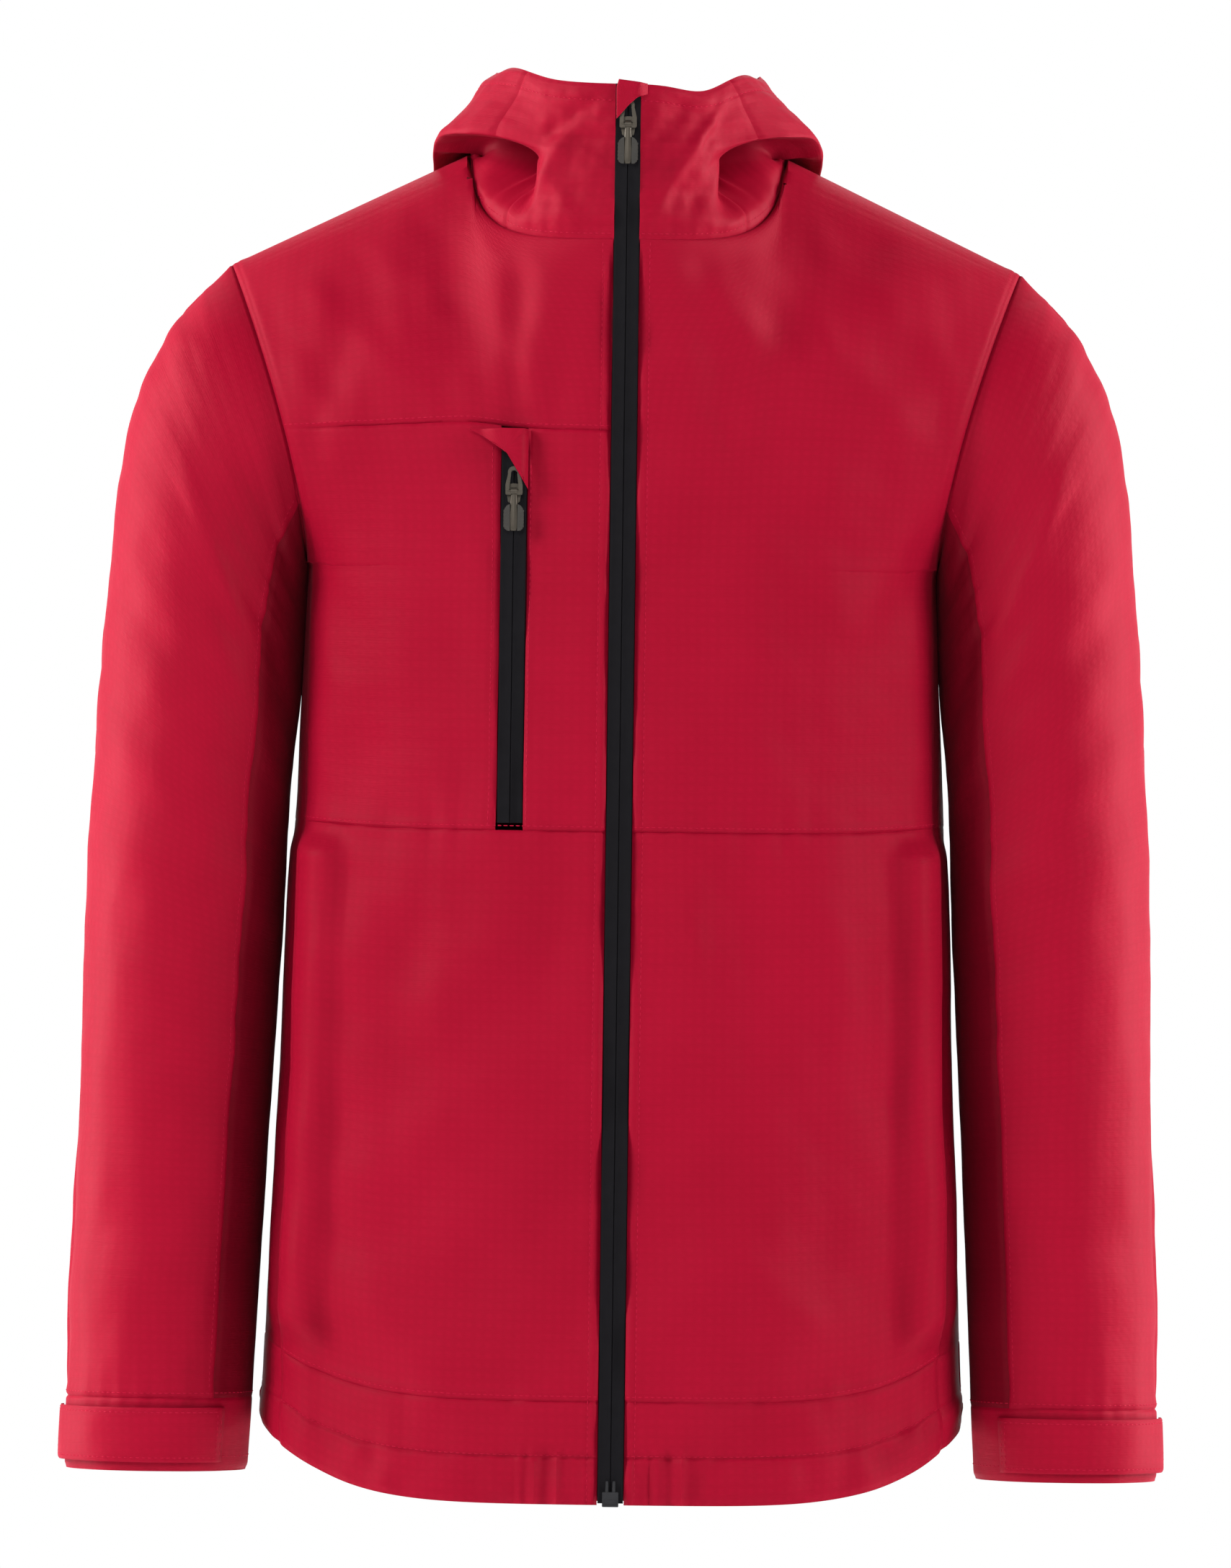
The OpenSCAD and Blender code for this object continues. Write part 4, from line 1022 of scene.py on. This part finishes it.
def add_sleeve(side):
    flip = side == "right"
    turn = mirrored if flip else (lambda q: q)
    p, n = turn(SLEEVE[0]), turn(SLEEVE[1])
    last = T_MARKS[1] + TUCK_ROWS
    body = f"sleeve_{side}"
    bend = bend_to(side)
    cloth(f"sleeve_upper_{side}_cloth", p[:last + 1, :UPPER_COLS + 1], n[:last + 1, :UPPER_COLS + 1],
          [f"sleeve_upper_{side}"], flip=flip, bend=bend)
    # the under sleeve takes the deepest red: painted shade on the sleeve's inner side
    cloth(f"sleeve_under_{side}_cloth", p[:last + 1, UPPER_COLS:], n[:last + 1, UPPER_COLS:],
          [f"sleeve_under_{side}"], slot="shell_deep", outer=RED_PAINTED_DEEP_SHADE, flip=flip, bend=bend)
    cloth(f"cuff_{side}_cloth", p[last:, :-1], n[last:, :-1], [f"cuff_{side}"], body=body, closed=True,
          flip=flip)
    thread = Stitching()
    for c in (2.6, UPPER_COLS - 2.6):
        thread.add(*column_line((p, n), c, 6, last - 2))
    cols = p.shape[1] - 1
    for t0 in (T_CUFF - 0.0033, 0.9905):
        rows = np.full(cols * 2 - 1, np.interp(t0, SLEEVE_TS, np.arange(len(SLEEVE_TS))) + TUCK_ROWS)
        at = np.arange(0, cols - 0.5, 0.5)
        thread.add(sample(p, rows[:len(at)], at), sample(n, rows[:len(at)], at))
    thread.finish(f"sleeve_stitching_{side}", body, bend)
    tab = tab_grid()
    tn = normals(tab, flip=True)
    cloth(f"cuff_tab_{side}_cloth", turn(tab), turn(tn), [f"cuff_tab_{side}"], body=f"tab_{side}",
          thick=1.5, flip=not flip)
    around = [(u, -0.83) for u in np.linspace(0.05, 0.955, 160)]
    around += [(0.965, v) for v in np.linspace(-0.7, 0.7, 40)]
    around += [(u, 0.83) for u in np.linspace(0.955, 0.05, 160)]
    thread = Stitching()
    for line in [around] + [[(u, v) for v in np.linspace(-0.8, 0.8, 60)] for u in (0.030, 0.055)]:
        u, v = np.array(line).T
        rows, cols = (v + 1) / 2 * (tab.shape[0] - 1), u * (tab.shape[1] - 1)
        thread.add(turn(sample(tab, rows, cols)), turn(sample(tn, rows, cols)))
    thread.finish(f"tab_stitching_{side}", f"tab_{side}")


for _side in ("left", "right"):
    add_sleeve(_side)


# ---- The collar's and hood's cloth ----
HOOD_TS = np.linspace(0, 1, 120)
BRIM_T = 0.86            # the brim is the hood beyond this part of the way
LEFT_CREASES = [(16, 14, 66, 86, 5, 3), (34, 10, 76, 60, 6, -2.4), (12, 44, 40, 92, 7, -1.5)]
RIGHT_CREASES = [(64, 10, 40, 60, 6, 2.4), (66, 46, 22, 88, 7, -2), (30, 6, 52, 36, 6, 1.4)]
HOLLOW_CREASES = [(92, 4, 84, 40, 3.2, 1), (78, 0, 70, 30, 3, 0.8)]
HOLLOW = 36.0            # depth of the hollow each side, under the front of the hood's roll


def rim_lift(f):
    """The brim's edge dips beside the zip and rises to a peak each side, the right peak the higher."""
    right = f > 180
    g = np.where(right, 360 - f, f)
    low = -4.4 * (1 - smooth((g - 70) / 30))
    left = 3.8 * hump(g - 60, 15) - 4.8 * hump(g - 33, 15)
    return low + np.where(right, 6.1 * hump(g - 60, 18), left)


def hood_surface(f, t):
    """The collar's and the hood's outside on a grid of f and t, with its hollows and creases."""
    s = np.mod(f, 360)
    p = hood_point(s, t)
    n = normals(p)
    g = np.where(s > 180, 360 - s, s)
    arc = g * 1.55
    h = 1.1 * ripple(s * 1.6, t * 150, 110, 90) + 0.5 * ripple(s * 1.6, t * 150, 111, 38)
    h = h + 0.2 * ripple(s * 1.6, t * 150, 112, 17)
    collar = 0.4 + 0.6 * smooth((46 - g) / 10)
    right = s > 180
    d = t * 100
    h = h + collar * np.where(right, folds(arc, d, RIGHT_CREASES), folds(arc, d, LEFT_CREASES))
    sway = 6.0 * (t - 0.25) * np.where(right, -1.0, 1.0)
    hollow = hump(g - 57 - sway, 13) * smooth((t - 0.04) / 0.13) * (1 - smooth((t - 0.38) / 0.12))
    depth = (HOLLOW - 8.0 * folds(arc, d, HOLLOW_CREASES)) * hollow
    h = h * smooth(d / 7 + 0.05) * (1 - 0.8 * smooth((t - 0.9) / 0.1))
    h = h + pucker(arc, d, 120, 0.5, 9, 14) * smooth(d / 3) + 2.6 * hump(d - 11, 8) * (1 - hollow)
    below = (1 - t) * 100
    h = h - 1.0 * hump(below, 2.0) + 0.4 * hump(below - 7, 5) - 0.25 * hump(below - 13, 1.0)
    h = h - 0.7 * hump((g - 50) * 1.4, 1.2) - 0.5 * hump((g - 150) * 0.8, 1.2)
    p = p + n * h[..., None]
    toward = np.stack([-np.sin(np.radians(s)), np.cos(np.radians(s)), 0 * s], axis=-1)
    p = p + toward * depth[..., None]
    p[..., 2] += rim_lift(s) * smooth((t - 0.45) / 0.55)
    return p, np.where((depth > 0.3)[..., None], normals(p), n)


def hood_span(f0, f1, count):
    """A stretch of the hood; beside the zip its edge runs straight up the tape."""
    ts = HOOD_TS[:, None]
    zip_edge = np.degrees(np.arcsin((ZIP_HALF - 0.5) / lerp(NECK_HALF, RIM_HALF, ts)))
    first = zip_edge if f0 == 0 else f0
    last = 360 - zip_edge if f1 == 360 else f1
    p, n = hood_surface(first + (last - first) * np.linspace(0, 1, count)[None], np.repeat(ts, count, axis=1))
    p[0] = p[0] - n[1] * 1.6 - [0, 0, 2.5]
    return p, n


def hood_pieces():
    """The collar's halves, the hood's sides and centre, and its brim, each cut from the hood's grid."""
    brim = int(round(BRIM_T * (len(HOOD_TS) - 1)))
    spans = [("collar_left", 0, 50.0, 90), ("hood_side_left", 50.0, 150.0, 170),
             ("hood_side_right", 210.0, 310.0, 170), ("collar_right", 310.0, 360, 90)]
    thread = Stitching()
    for name, f0, f1, count in spans:
        p, n = hood_span(f0, f1, count)
        cloth(name + "_cloth", p, n, [name])
        cols = np.linspace(0.5, count - 1.5, count * 2 - 4)
        for row in (3.0, len(HOOD_TS) - 16.0):
            rows = np.full(len(cols), row)
            thread.add(sample(p, rows, cols), sample(n, rows, cols))
    p, n = hood_span(150.0, 210.0, 80)
    cloth("hood_centre_cloth", p[:brim + 1], n[:brim + 1], ["hood_centre"])
    # the brim takes the deepest red: painted shade
    cloth("hood_brim_cloth", p[brim:], n[brim:], ["hood_brim"], slot="shell_deep", outer=RED_PAINTED_DEEP_SHADE)
    thread.finish("hood_stitching", "jacket")


hood_pieces()



# ---- Solid helpers in a zip's own frame: x across the tape, y out of the cloth, z up the zip ----
class Parts:
    """Collects boxes, rods and rings in one zip's frame, and makes them one bevelled object."""

    def __init__(self, origin, x, y, z):
        self.origin = np.asarray(origin, float)
        self.axes = np.stack([np.asarray(v, float) for v in (x, y, z)])
        self.verts, self.faces, self.kinds, self.count = [], [], [], 0
        self.pivot, self.size = np.zeros(3), 1.0

    def add(self, verts, faces, kind=0):
        verts = (self.pivot + (np.asarray(verts, float) - self.pivot) * self.size) @ self.axes + self.origin
        self.verts.append(verts)
        self.faces += [[i + self.count for i in f] for f in faces]
        self.kinds += [kind] * len(faces)
        self.count += len(verts)

    def slab(self, outline, y0, y1, kind=0):
        """A flat plate from an outline of (x, z) pairs, between the depths y0 and y1."""
        n = len(outline)
        verts = [(x, y0, z) for x, z in outline] + [(x, y1, z) for x, z in outline]
        faces = [list(range(n)), list(range(2 * n - 1, n - 1, -1))]
        faces += [[i, i + n, (i + 1) % n + n, (i + 1) % n] for i in range(n)]
        self.add(verts, faces, kind)

    def ring(self, outer, inner, y0, y1, kind=0):
        """A flat ring between two outlines with equal counts of points."""
        n = len(outer)
        verts = [(x, y0, z) for x, z in outer] + [(x, y0, z) for x, z in inner]
        verts += [(x, y1, z) for x, z in outer] + [(x, y1, z) for x, z in inner]
        faces = []
        for i in range(n):
            j = (i + 1) % n
            faces += [[i, j, n + j, n + i], [2 * n + j, 2 * n + i, 3 * n + i, 3 * n + j],
                      [j, i, 2 * n + i, 2 * n + j], [n + i, n + j, 3 * n + j, 3 * n + i]]
        self.add(verts, faces, kind)

    def rod(self, path, radii, kind=0, sides=20, flat=1.0):
        """A round bar along points (x, y, z), with a radius at each, squashed in depth by flat."""
        path = np.asarray(path, float)
        steps = np.gradient(path, axis=0)
        verts = []
        for p, d, r in zip(path, unit(steps), radii):
            a = unit(np.cross(d, [0, 1, 0.001]))
            b = np.cross(a, d)
            for k in range(sides):
                t = 2 * math.pi * k / sides
                verts.append(p + r * (a * math.cos(t) + b * flat * math.sin(t)))
        faces = grid_faces(len(path), sides, closed=True).tolist()
        faces += [list(range(sides - 1, -1, -1)), list(range((len(path) - 1) * sides, len(path) * sides))]
        self.add(verts, faces, kind)

    def finish(self, name, mats, body, slot, nodes, bevel=0.25):
        mesh = bpy.data.meshes.new(name)
        verts = to_frame(np.concatenate(self.verts))
        mesh.from_pydata([tuple(v) for v in verts], [], self.faces)
        for mat in mats:
            mesh.materials.append(mat)
        mesh.polygons.foreach_set("material_index", np.array(self.kinds, np.int32))
        mesh.update(calc_edges=True)
        mesh.validate()
        tidy = bmesh.new()
        tidy.from_mesh(mesh)
        bmesh.ops.recalc_face_normals(tidy, faces=tidy.faces)
        sharp = [e for e in tidy.edges if len(e.link_faces) == 2 and e.calc_face_angle(0) > 0.6]
        bmesh.ops.bevel(tidy, geom=sharp, offset=bevel / 1000, segments=2, affect="EDGES", clamp_overlap=True)
        for face in tidy.faces:
            face.smooth = True
        tidy.to_mesh(mesh)
        tidy.free()
        mesh.set_sharp_from_angle(angle=math.radians(40))
        obj = bpy.data.objects.new(name, mesh)
        bpy.context.scene.collection.objects.link(obj)
        return attach(obj, body, nodes)


def zip_frame(top, bottom, out):
    """A zip's top end, its directions across, out and up, and its length."""
    top = np.asarray(top, float)
    z = unit(top - bottom)
    x = unit(np.cross(out, z))
    return top, x, np.cross(z, x), z, float(np.linalg.norm(top - bottom))


def turned(line):
    """The same zip frame on the wearer's right."""
    return mirrored(line[0]), -mirrored(line[1]), mirrored(line[2]), mirrored(line[3]), line[4]


def outward(p):
    lift = max(0.0, p[2] - (SHOULDER_Z - 100)) / 110 ** 2
    return unit(np.array([p[0] / CHEST_HALF ** 2, p[1] / FRONT_DEPTH ** 2, lift]))


FRONT_TOP, FRONT_BOTTOM = RIM_Z - 4, HEM_Z - FRONT_DROP
FRONT_ZIP = zip_frame(*([0, -front_line(z), z] for z in (FRONT_TOP, FRONT_BOTTOM)), [0, -1, 0])
CHEST_MARGIN, ZIP_LIFT = 4, 0.6
CHEST_ENDS = [body_point(np.array(CHEST_ZIP_X), np.array(w), False) - [0, ZIP_LIFT, 0]
              for w in (W_CHEST - CHEST_MARGIN / BODY_LEN, W_WAIST + CHEST_MARGIN / BODY_LEN)]
CHEST_ZIP = turned(zip_frame(CHEST_ENDS[0], CHEST_ENDS[1], [0, -1, 0]))
HAND_INSET, HAND_LIFT, HAND_TURN, HAND_MARGIN = 11.0, 3.8, math.radians(26), 0.02


def hand_zip_point(w):
    p = body_point(side_front(np.array(w)) - HAND_INSET, np.array(w), False)
    return p + HAND_LIFT * outward(p)


HAND_ZIP = zip_frame(hand_zip_point(W_WAIST - HAND_MARGIN), hand_zip_point(W_BAND + HAND_MARGIN),
                     [math.cos(HAND_TURN), -math.sin(HAND_TURN), 0])
FRONT_DROP_Z, CHEST_DROP_Z, HAND_DROP_Z = 24.0, 32.0, 14.0
BAR_Y, BAR_Z = 5.0, 1.0  # the bar a puller swings on: how far out of the tape and up it


def arc(cx, cz, r, a0, a1, n):
    turns = [math.radians(lerp(a0, a1, i / n)) for i in range(n + 1)]
    return [(cx + r * math.cos(t), cz + r * math.sin(t)) for t in turns]


def coated_tape(name, line, width, nodes, top=0.0, bottom=0.0):
    """A zip's coated tape: two halves that meet in a fine groove, with pressed edges."""
    rows = np.linspace(-top, -(line[4] - bottom), 420)
    half = width / 2
    xs = np.array([half, half - 0.15, half - 0.9, half - 1.6, 1.3, 0.75, 0.28, 0.06])
    xs = np.concatenate([-xs, xs[::-1]])
    profile = np.array([-0.9, 0.0, 0.12, 0.0, 0.02, 0.22, 0.2, -0.55])
    profile = np.concatenate([profile, profile[::-1]])
    x, z = np.meshgrid(xs, rows)
    y = np.broadcast_to(profile, x.shape) + 0.10 * ripple(x * 3, z, 140, 36) + 0.05 * ripple(x, z, 141, 7)
    p = np.stack([x, y, z], axis=-1) @ np.stack(line[1:4]) + line[0]
    n = normals(p)
    if n[:, 5].mean(axis=0) @ line[2] < 0:
        p = p[:, ::-1]
        n = normals(p)
    cloth(name, p, n, nodes, slot="zip_tape", outer=TAPE, inner=TAPE, thick=1.0)


def slider_parts(origin_drop, line, size):
    """Parts on a zip's slider; a smaller one shrinks about the bar that the puller swings on."""
    part = Parts(line[0] - line[3] * origin_drop, line[1], line[2], line[3])
    part.pivot, part.size = np.array([0.0, BAR_Y, BAR_Z]), size
    return part


def add_slider(name, line, drop, body, nodes, slot="zip_metal", metal=METAL, size=1.0):
    """The slider's shield-shaped plate with a flared wire ring that carries the puller."""
    part = slider_parts(drop, line, size)
    half = [(2.6, -5.3), (3.3, -4.4), (4.1, 0.5), (4.1, 3.6), (3.0, 5.0), (1.0, 5.4)]
    plate = [(-2.6, -5.3)] + half + [(-x, z) for x, z in half[:0:-1]]
    part.slab(plate, 0.4, 2.2)
    part.slab([(-1.5, -3.6), (1.5, -3.6), (1.5, 3.4), (-1.5, 3.4)], 2.0, 3.3)
    outer = arc(0, 11.2, 3.5, -15, 195, 14) + [(-4.75, 4.4), (-4.75, 0.2)] + arc(-3.7, -0.2, 1.0, 180, 250, 3)
    outer += arc(3.7, -0.2, 1.0, 290, 360, 3) + [(4.75, 4.4)]
    inner = arc(0, 10.6, 1.75, -15, 195, 14) + [(-2.35, 4.4), (-2.35, 1.4)] + arc(-2.2, 1.0, 0.3, 180, 250, 3)
    inner += arc(2.2, 1.0, 0.3, 290, 360, 3) + [(2.35, 4.4)]
    part.ring(outer, inner, BAR_Y - 0.8, BAR_Y + 0.8)
    for x in (-3.6, 3.6):
        part.slab([(x - 0.8, -0.8), (x + 0.8, -0.8), (x + 0.8, 2.6), (x - 0.8, 2.6)], 1.8, BAR_Y)
    part.rod([(-4.3, BAR_Y, BAR_Z), (0, BAR_Y, BAR_Z), (4.3, BAR_Y, BAR_Z)], [0.9, 0.9, 0.9], sides=16)
    part.finish(name, [metal], body, slot, nodes)


def add_puller(name, line, drop, body, nodes, slot="zip_metal", metal=METAL, size=1.0):
    """The puller: an eye on the ring, a rounded bar, and darker ribbed grips down its sides."""
    part = slider_parts(drop, line, size)
    part.rod([(x, BAR_Y, BAR_Z) for x in (-1.75, 0, 1.75)], [2.0] * 3, sides=20)
    zs = np.array([-0.8, -3.0, -6.0, -10.0, -14.0, -18.0, -20.6, -21.6, -21.9])
    radii = np.array([1.7, 1.7, 1.9, 2.25, 2.45, 2.5, 2.35, 1.7, 0.8])
    part.rod([(0, BAR_Y, BAR_Z + z) for z in zs], radii, sides=24, flat=0.46)
    for sign in (-1, 1):
        side = [(2.1, -7.2), (3.6, -7.9), (4.9, -9.4), (5.5, -12.0), (5.5, -18.6), (5.0, -20.6), (3.6, -21.8),
                (2.0, -21.9)]
        part.slab([(sign * x, z + BAR_Z) for x, z in side], BAR_Y - 0.95, BAR_Y + 0.95, 1)
        for k in range(5):
            z = -10.4 - k * 2.1
            rib = [(sign * 3.0, z), (sign * 5.6, z), (sign * 5.6, z - 0.9), (sign * 3.0, z - 0.9)]
            part.slab([(x, q + BAR_Z) for x, q in rib], BAR_Y - 1.1, BAR_Y + 1.1, 1)
    part.finish(name, [metal, GRIP], body, slot, nodes, bevel=0.18)


def add_zips():
    coated_tape("front_zip_tape", FRONT_ZIP, TAPE_W, ["zip_tape_right", "zip_tape_left", "zip_coil"],
                top=0.4, bottom=1.0)
    coated_tape("chest_zip_tape_coated", CHEST_ZIP, TAPE_W, ["chest_zip_tape"])
    add_slider("front_slider_body", FRONT_ZIP, FRONT_DROP_Z, "front_slider", ["zip_slider"])
    add_puller("front_puller_body", FRONT_ZIP, FRONT_DROP_Z, "front_puller", ["zip_puller"])
    add_slider("chest_slider_body", CHEST_ZIP, CHEST_DROP_Z, "chest_slider", ["chest_zip_slider"])
    add_puller("chest_puller_body", CHEST_ZIP, CHEST_DROP_Z, "chest_puller", ["chest_zip_puller"])
    for side, line in (("left", HAND_ZIP), ("right", turned(HAND_ZIP))):
        coated_tape(f"hand_zip_tape_{side}_coated", line, 9, [f"hand_zip_tape_{side}"], bottom=9.0)
        for kind, add, size in (("slider", add_slider, 0.75), ("puller", add_puller, 0.55)):
            add(f"hand_{kind}_{side}_body", line, HAND_DROP_Z, f"hand_{kind}_{side}",
                [f"hand_zip_{kind}_{side}"], "black_plastic", BLACK, size)


def add_retainer():
    """The box and pins at the foot of the front zip."""
    part = Parts(FRONT_ZIP[0] - FRONT_ZIP[3] * FRONT_ZIP[4], *FRONT_ZIP[1:4])
    part.slab([(-4.5, -1.0), (4.5, -1.0), (4.5, 7.2), (-4.5, 7.2)], -0.9, 2.4)
    part.slab([(-3.3, 0.4), (3.3, 0.4), (3.3, 3.0), (-3.3, 3.0)], 2.2, 2.9)
    for x in (-1.9, 1.9):
        part.slab([(x - 0.9, 7.0), (x + 0.9, 7.0), (x + 0.8, 13.2), (x - 0.8, 13.2)], 0.0, 1.7)
    part.finish("retainer_box_body", [BLACK], "jacket", "black_plastic", ["zip_retainer_box"])


def folded_cloth(name, outline, line, base, lift, nodes):
    """A small folded piece of cloth: a flat outline in a zip's frame, raised on the folded side."""
    outline = np.asarray(outline, float)
    centre = outline.mean(axis=0)
    rings, steps = [], [1.0, 0.985, 0.95, 0.85, 0.65, 0.4, 0.15, 0.01]
    part = np.linspace(0, 1, 24)[:-1, None]
    dense = np.concatenate([lerp(a, b, part) for a, b in zip(outline, np.roll(outline, -1, axis=0))])
    for k, s in enumerate(steps):
        ring = centre + (dense - centre) * s
        y = base + lift(ring[:, 0]) + (-0.9 if k == 0 else -0.25 if k == 1 else 0)
        rings.append(np.stack([ring[:, 0], y, ring[:, 1]], axis=-1))
    grid = np.stack(rings) @ np.stack(line[1:4]) + line[0]
    n = np.broadcast_to(line[2], grid.shape)
    test = np.cross(grid[1, 1] - grid[1, 0], grid[2, 0] - grid[1, 0]) @ line[2]
    cloth(name, grid, n, nodes, thick=0.9, closed=True, flip=test < 0)


def add_garages():
    def front_lift(x):
        return 4.2 * smooth((x + 10.5) / 4.5) + 0.8 * hump(x - 2, 9) + 0.4 * hump(x + 4, 3)

    folded_cloth("zip_garage_cloth", [[-10.5, -0.6], [5.4, 1.4], [6.6, -3], [6.4, -20.5], [3.4, -17],
                                      [-0.5, -12.5], [-5, -8.5], [-10.5, -6.5]],
                 FRONT_ZIP, 4.4, front_lift, ["zip_garage"])

    def chest_lift(x):
        over = smooth((x + 7.8) / 3.0) * (1 - smooth((x - 6.5) / 13))
        return 6.0 * over - 1.4 * smooth((x - 12) / 14) + 0.35 * np.sin(x * 0.6)

    folded_cloth("chest_garage_cloth", [[-7.8, 3.4], [8, 3.6], [25, 3.2], [20, 0.8], [14, -3.2], [8, -7.5],
                                        [3, -11], [-1.5, -16], [-5.2, -23], [-7.8, -30]],
                 CHEST_ZIP, 2.6, chest_lift, ["chest_zip_garage"])


add_zips()
add_retainer()
add_garages()


# ---- The CAD's own pieces that show ----
def finish_cad_pieces():
    slots = {part["node"]: part["material_slot"] for part in frame["record"]["subparts"]}
    for name, node in frame["nodes"].items():
        if node.hide_render:
            continue
        node.data.materials.clear()
        node.data.materials.append(FINISH[slots[name]])
        layer = node.data.uv_layers.new(name="UVMap") if not node.data.uv_layers else node.data.uv_layers[0]
        co = np.array([v.co for v in node.data.vertices])
        loops = np.array([loop.vertex_index for loop in node.data.loops])
        layer.data.foreach_set("uv", (co[loops][:, [0, 2]]).astype(np.float32).ravel())


finish_cad_pieces()


# ---- Camera, lights and floor ----
CAMERA_DISTANCE = 9.0
CAMERA_X, CAMERA_Z = -0.0022, -335.2  # the picture's middle: metres across, garment millimetres up
VIEW_HEIGHT = 0.8704     # metres that the picture's height covers at the side seams' depth
PHOTO_ROLL = 0.75        # the garment hangs a little askew in the picture, in degrees
FLOOR_DROP, FLOOR_HALF = 0.45, 4.0  # how far the floor is below the jacket, and half its width
JACKET_MIDDLE = (0, -0.05, -0.36)
# Each light's name, place, width and height, and power
LIGHTS = [("key_left", (-2.7, -1.1, 1.1), (0.8, 1.6), 125),
          ("fill_right", (2.7, -1.1, 0.7), (0.8, 1.6), 85),
          ("front", (-0.6, -4.0, 1.4), (1.2, 1.2), 70),
          ("rim_left", (-1.6, 0.35, -0.1), (0.4, 2.0), 50),
          ("rim_right", (1.6, 0.35, -0.1), (0.4, 2.0), 50),
          ("top_back", (0, 1.6, 1.6), (1.6, 1.0), 45)]


def camera():
    cam = bpy.data.objects.new("camera", bpy.data.cameras.new("camera"))
    bpy.context.scene.collection.objects.link(cam)
    side_y = to_frame([0, 0, 0])[1]
    cam.location = (CAMERA_X, side_y - CAMERA_DISTANCE, to_frame([0, 0, CAMERA_Z])[2])
    cam.rotation_euler = (math.radians(90), 0, 0)
    cam.rotation_euler.rotate_axis("Z", math.radians(PHOTO_ROLL))
    cam.data.sensor_width = 36
    cam.data.lens = 36 * CAMERA_DISTANCE / VIEW_HEIGHT
    cam.data.clip_start, cam.data.clip_end = 0.1, 60
    bpy.context.scene.camera = cam


def area_light(name, place, size, power):
    """A light turned to the jacket's middle; size is its width and height in metres."""
    data = bpy.data.lights.new(name, "AREA")
    data.shape = "RECTANGLE"
    data.size, data.size_y = size
    data.energy = power
    obj = bpy.data.objects.new(name, data)
    bpy.context.scene.collection.objects.link(obj)
    obj.location = place
    obj.rotation_euler = (Vector(JACKET_MIDDLE) - Vector(place)).to_track_quat("-Z", "Y").to_euler()


def studio():
    """Near the horizon the surroundings are white paper; above and below they are dimmer."""
    world = bpy.data.worlds.new("studio")
    world.use_nodes = True
    nodes, links = world.node_tree.nodes, world.node_tree.links
    split = nodes.new("ShaderNodeSeparateXYZ")
    links.new(nodes.new("ShaderNodeTexCoord").outputs["Generated"], split.inputs[0])
    level = maths(nodes, links, "ABSOLUTE", split.outputs["Z"], 0)
    ramp = nodes.new("ShaderNodeMapRange")
    ramp.inputs["From Min"].default_value, ramp.inputs["From Max"].default_value = 0.10, 0.30
    ramp.inputs["To Min"].default_value, ramp.inputs["To Max"].default_value = 1.0, 0.26
    links.new(level, ramp.inputs["Value"])
    links.new(ramp.outputs["Result"], nodes["Background"].inputs["Strength"])
    nodes["Background"].inputs["Color"].default_value = (1, 1, 1, 1)
    bpy.context.scene.world = world
    bpy.context.scene.view_settings.view_transform = "Standard"
    for light in LIGHTS:
        area_light(*light)
    mat, _, _, shader = new_material("paper")
    shader.inputs["Base Color"].default_value = (0.9, 0.9, 0.9, 1)
    shader.inputs["Roughness"].default_value = 0.9
    floor_z = float(CAD_BOX[0][2]) - FLOOR_DROP
    corners = ((-1, -1), (1, -1), (1, 1), (-1, 1))
    verts = [(x * FLOOR_HALF, y * FLOOR_HALF, floor_z) for x, y in corners]
    floor = make_object("floor", np.array(verts, float), [[0, 1, 2, 3]], [mat], smooth_faces=False)


camera()
studio()
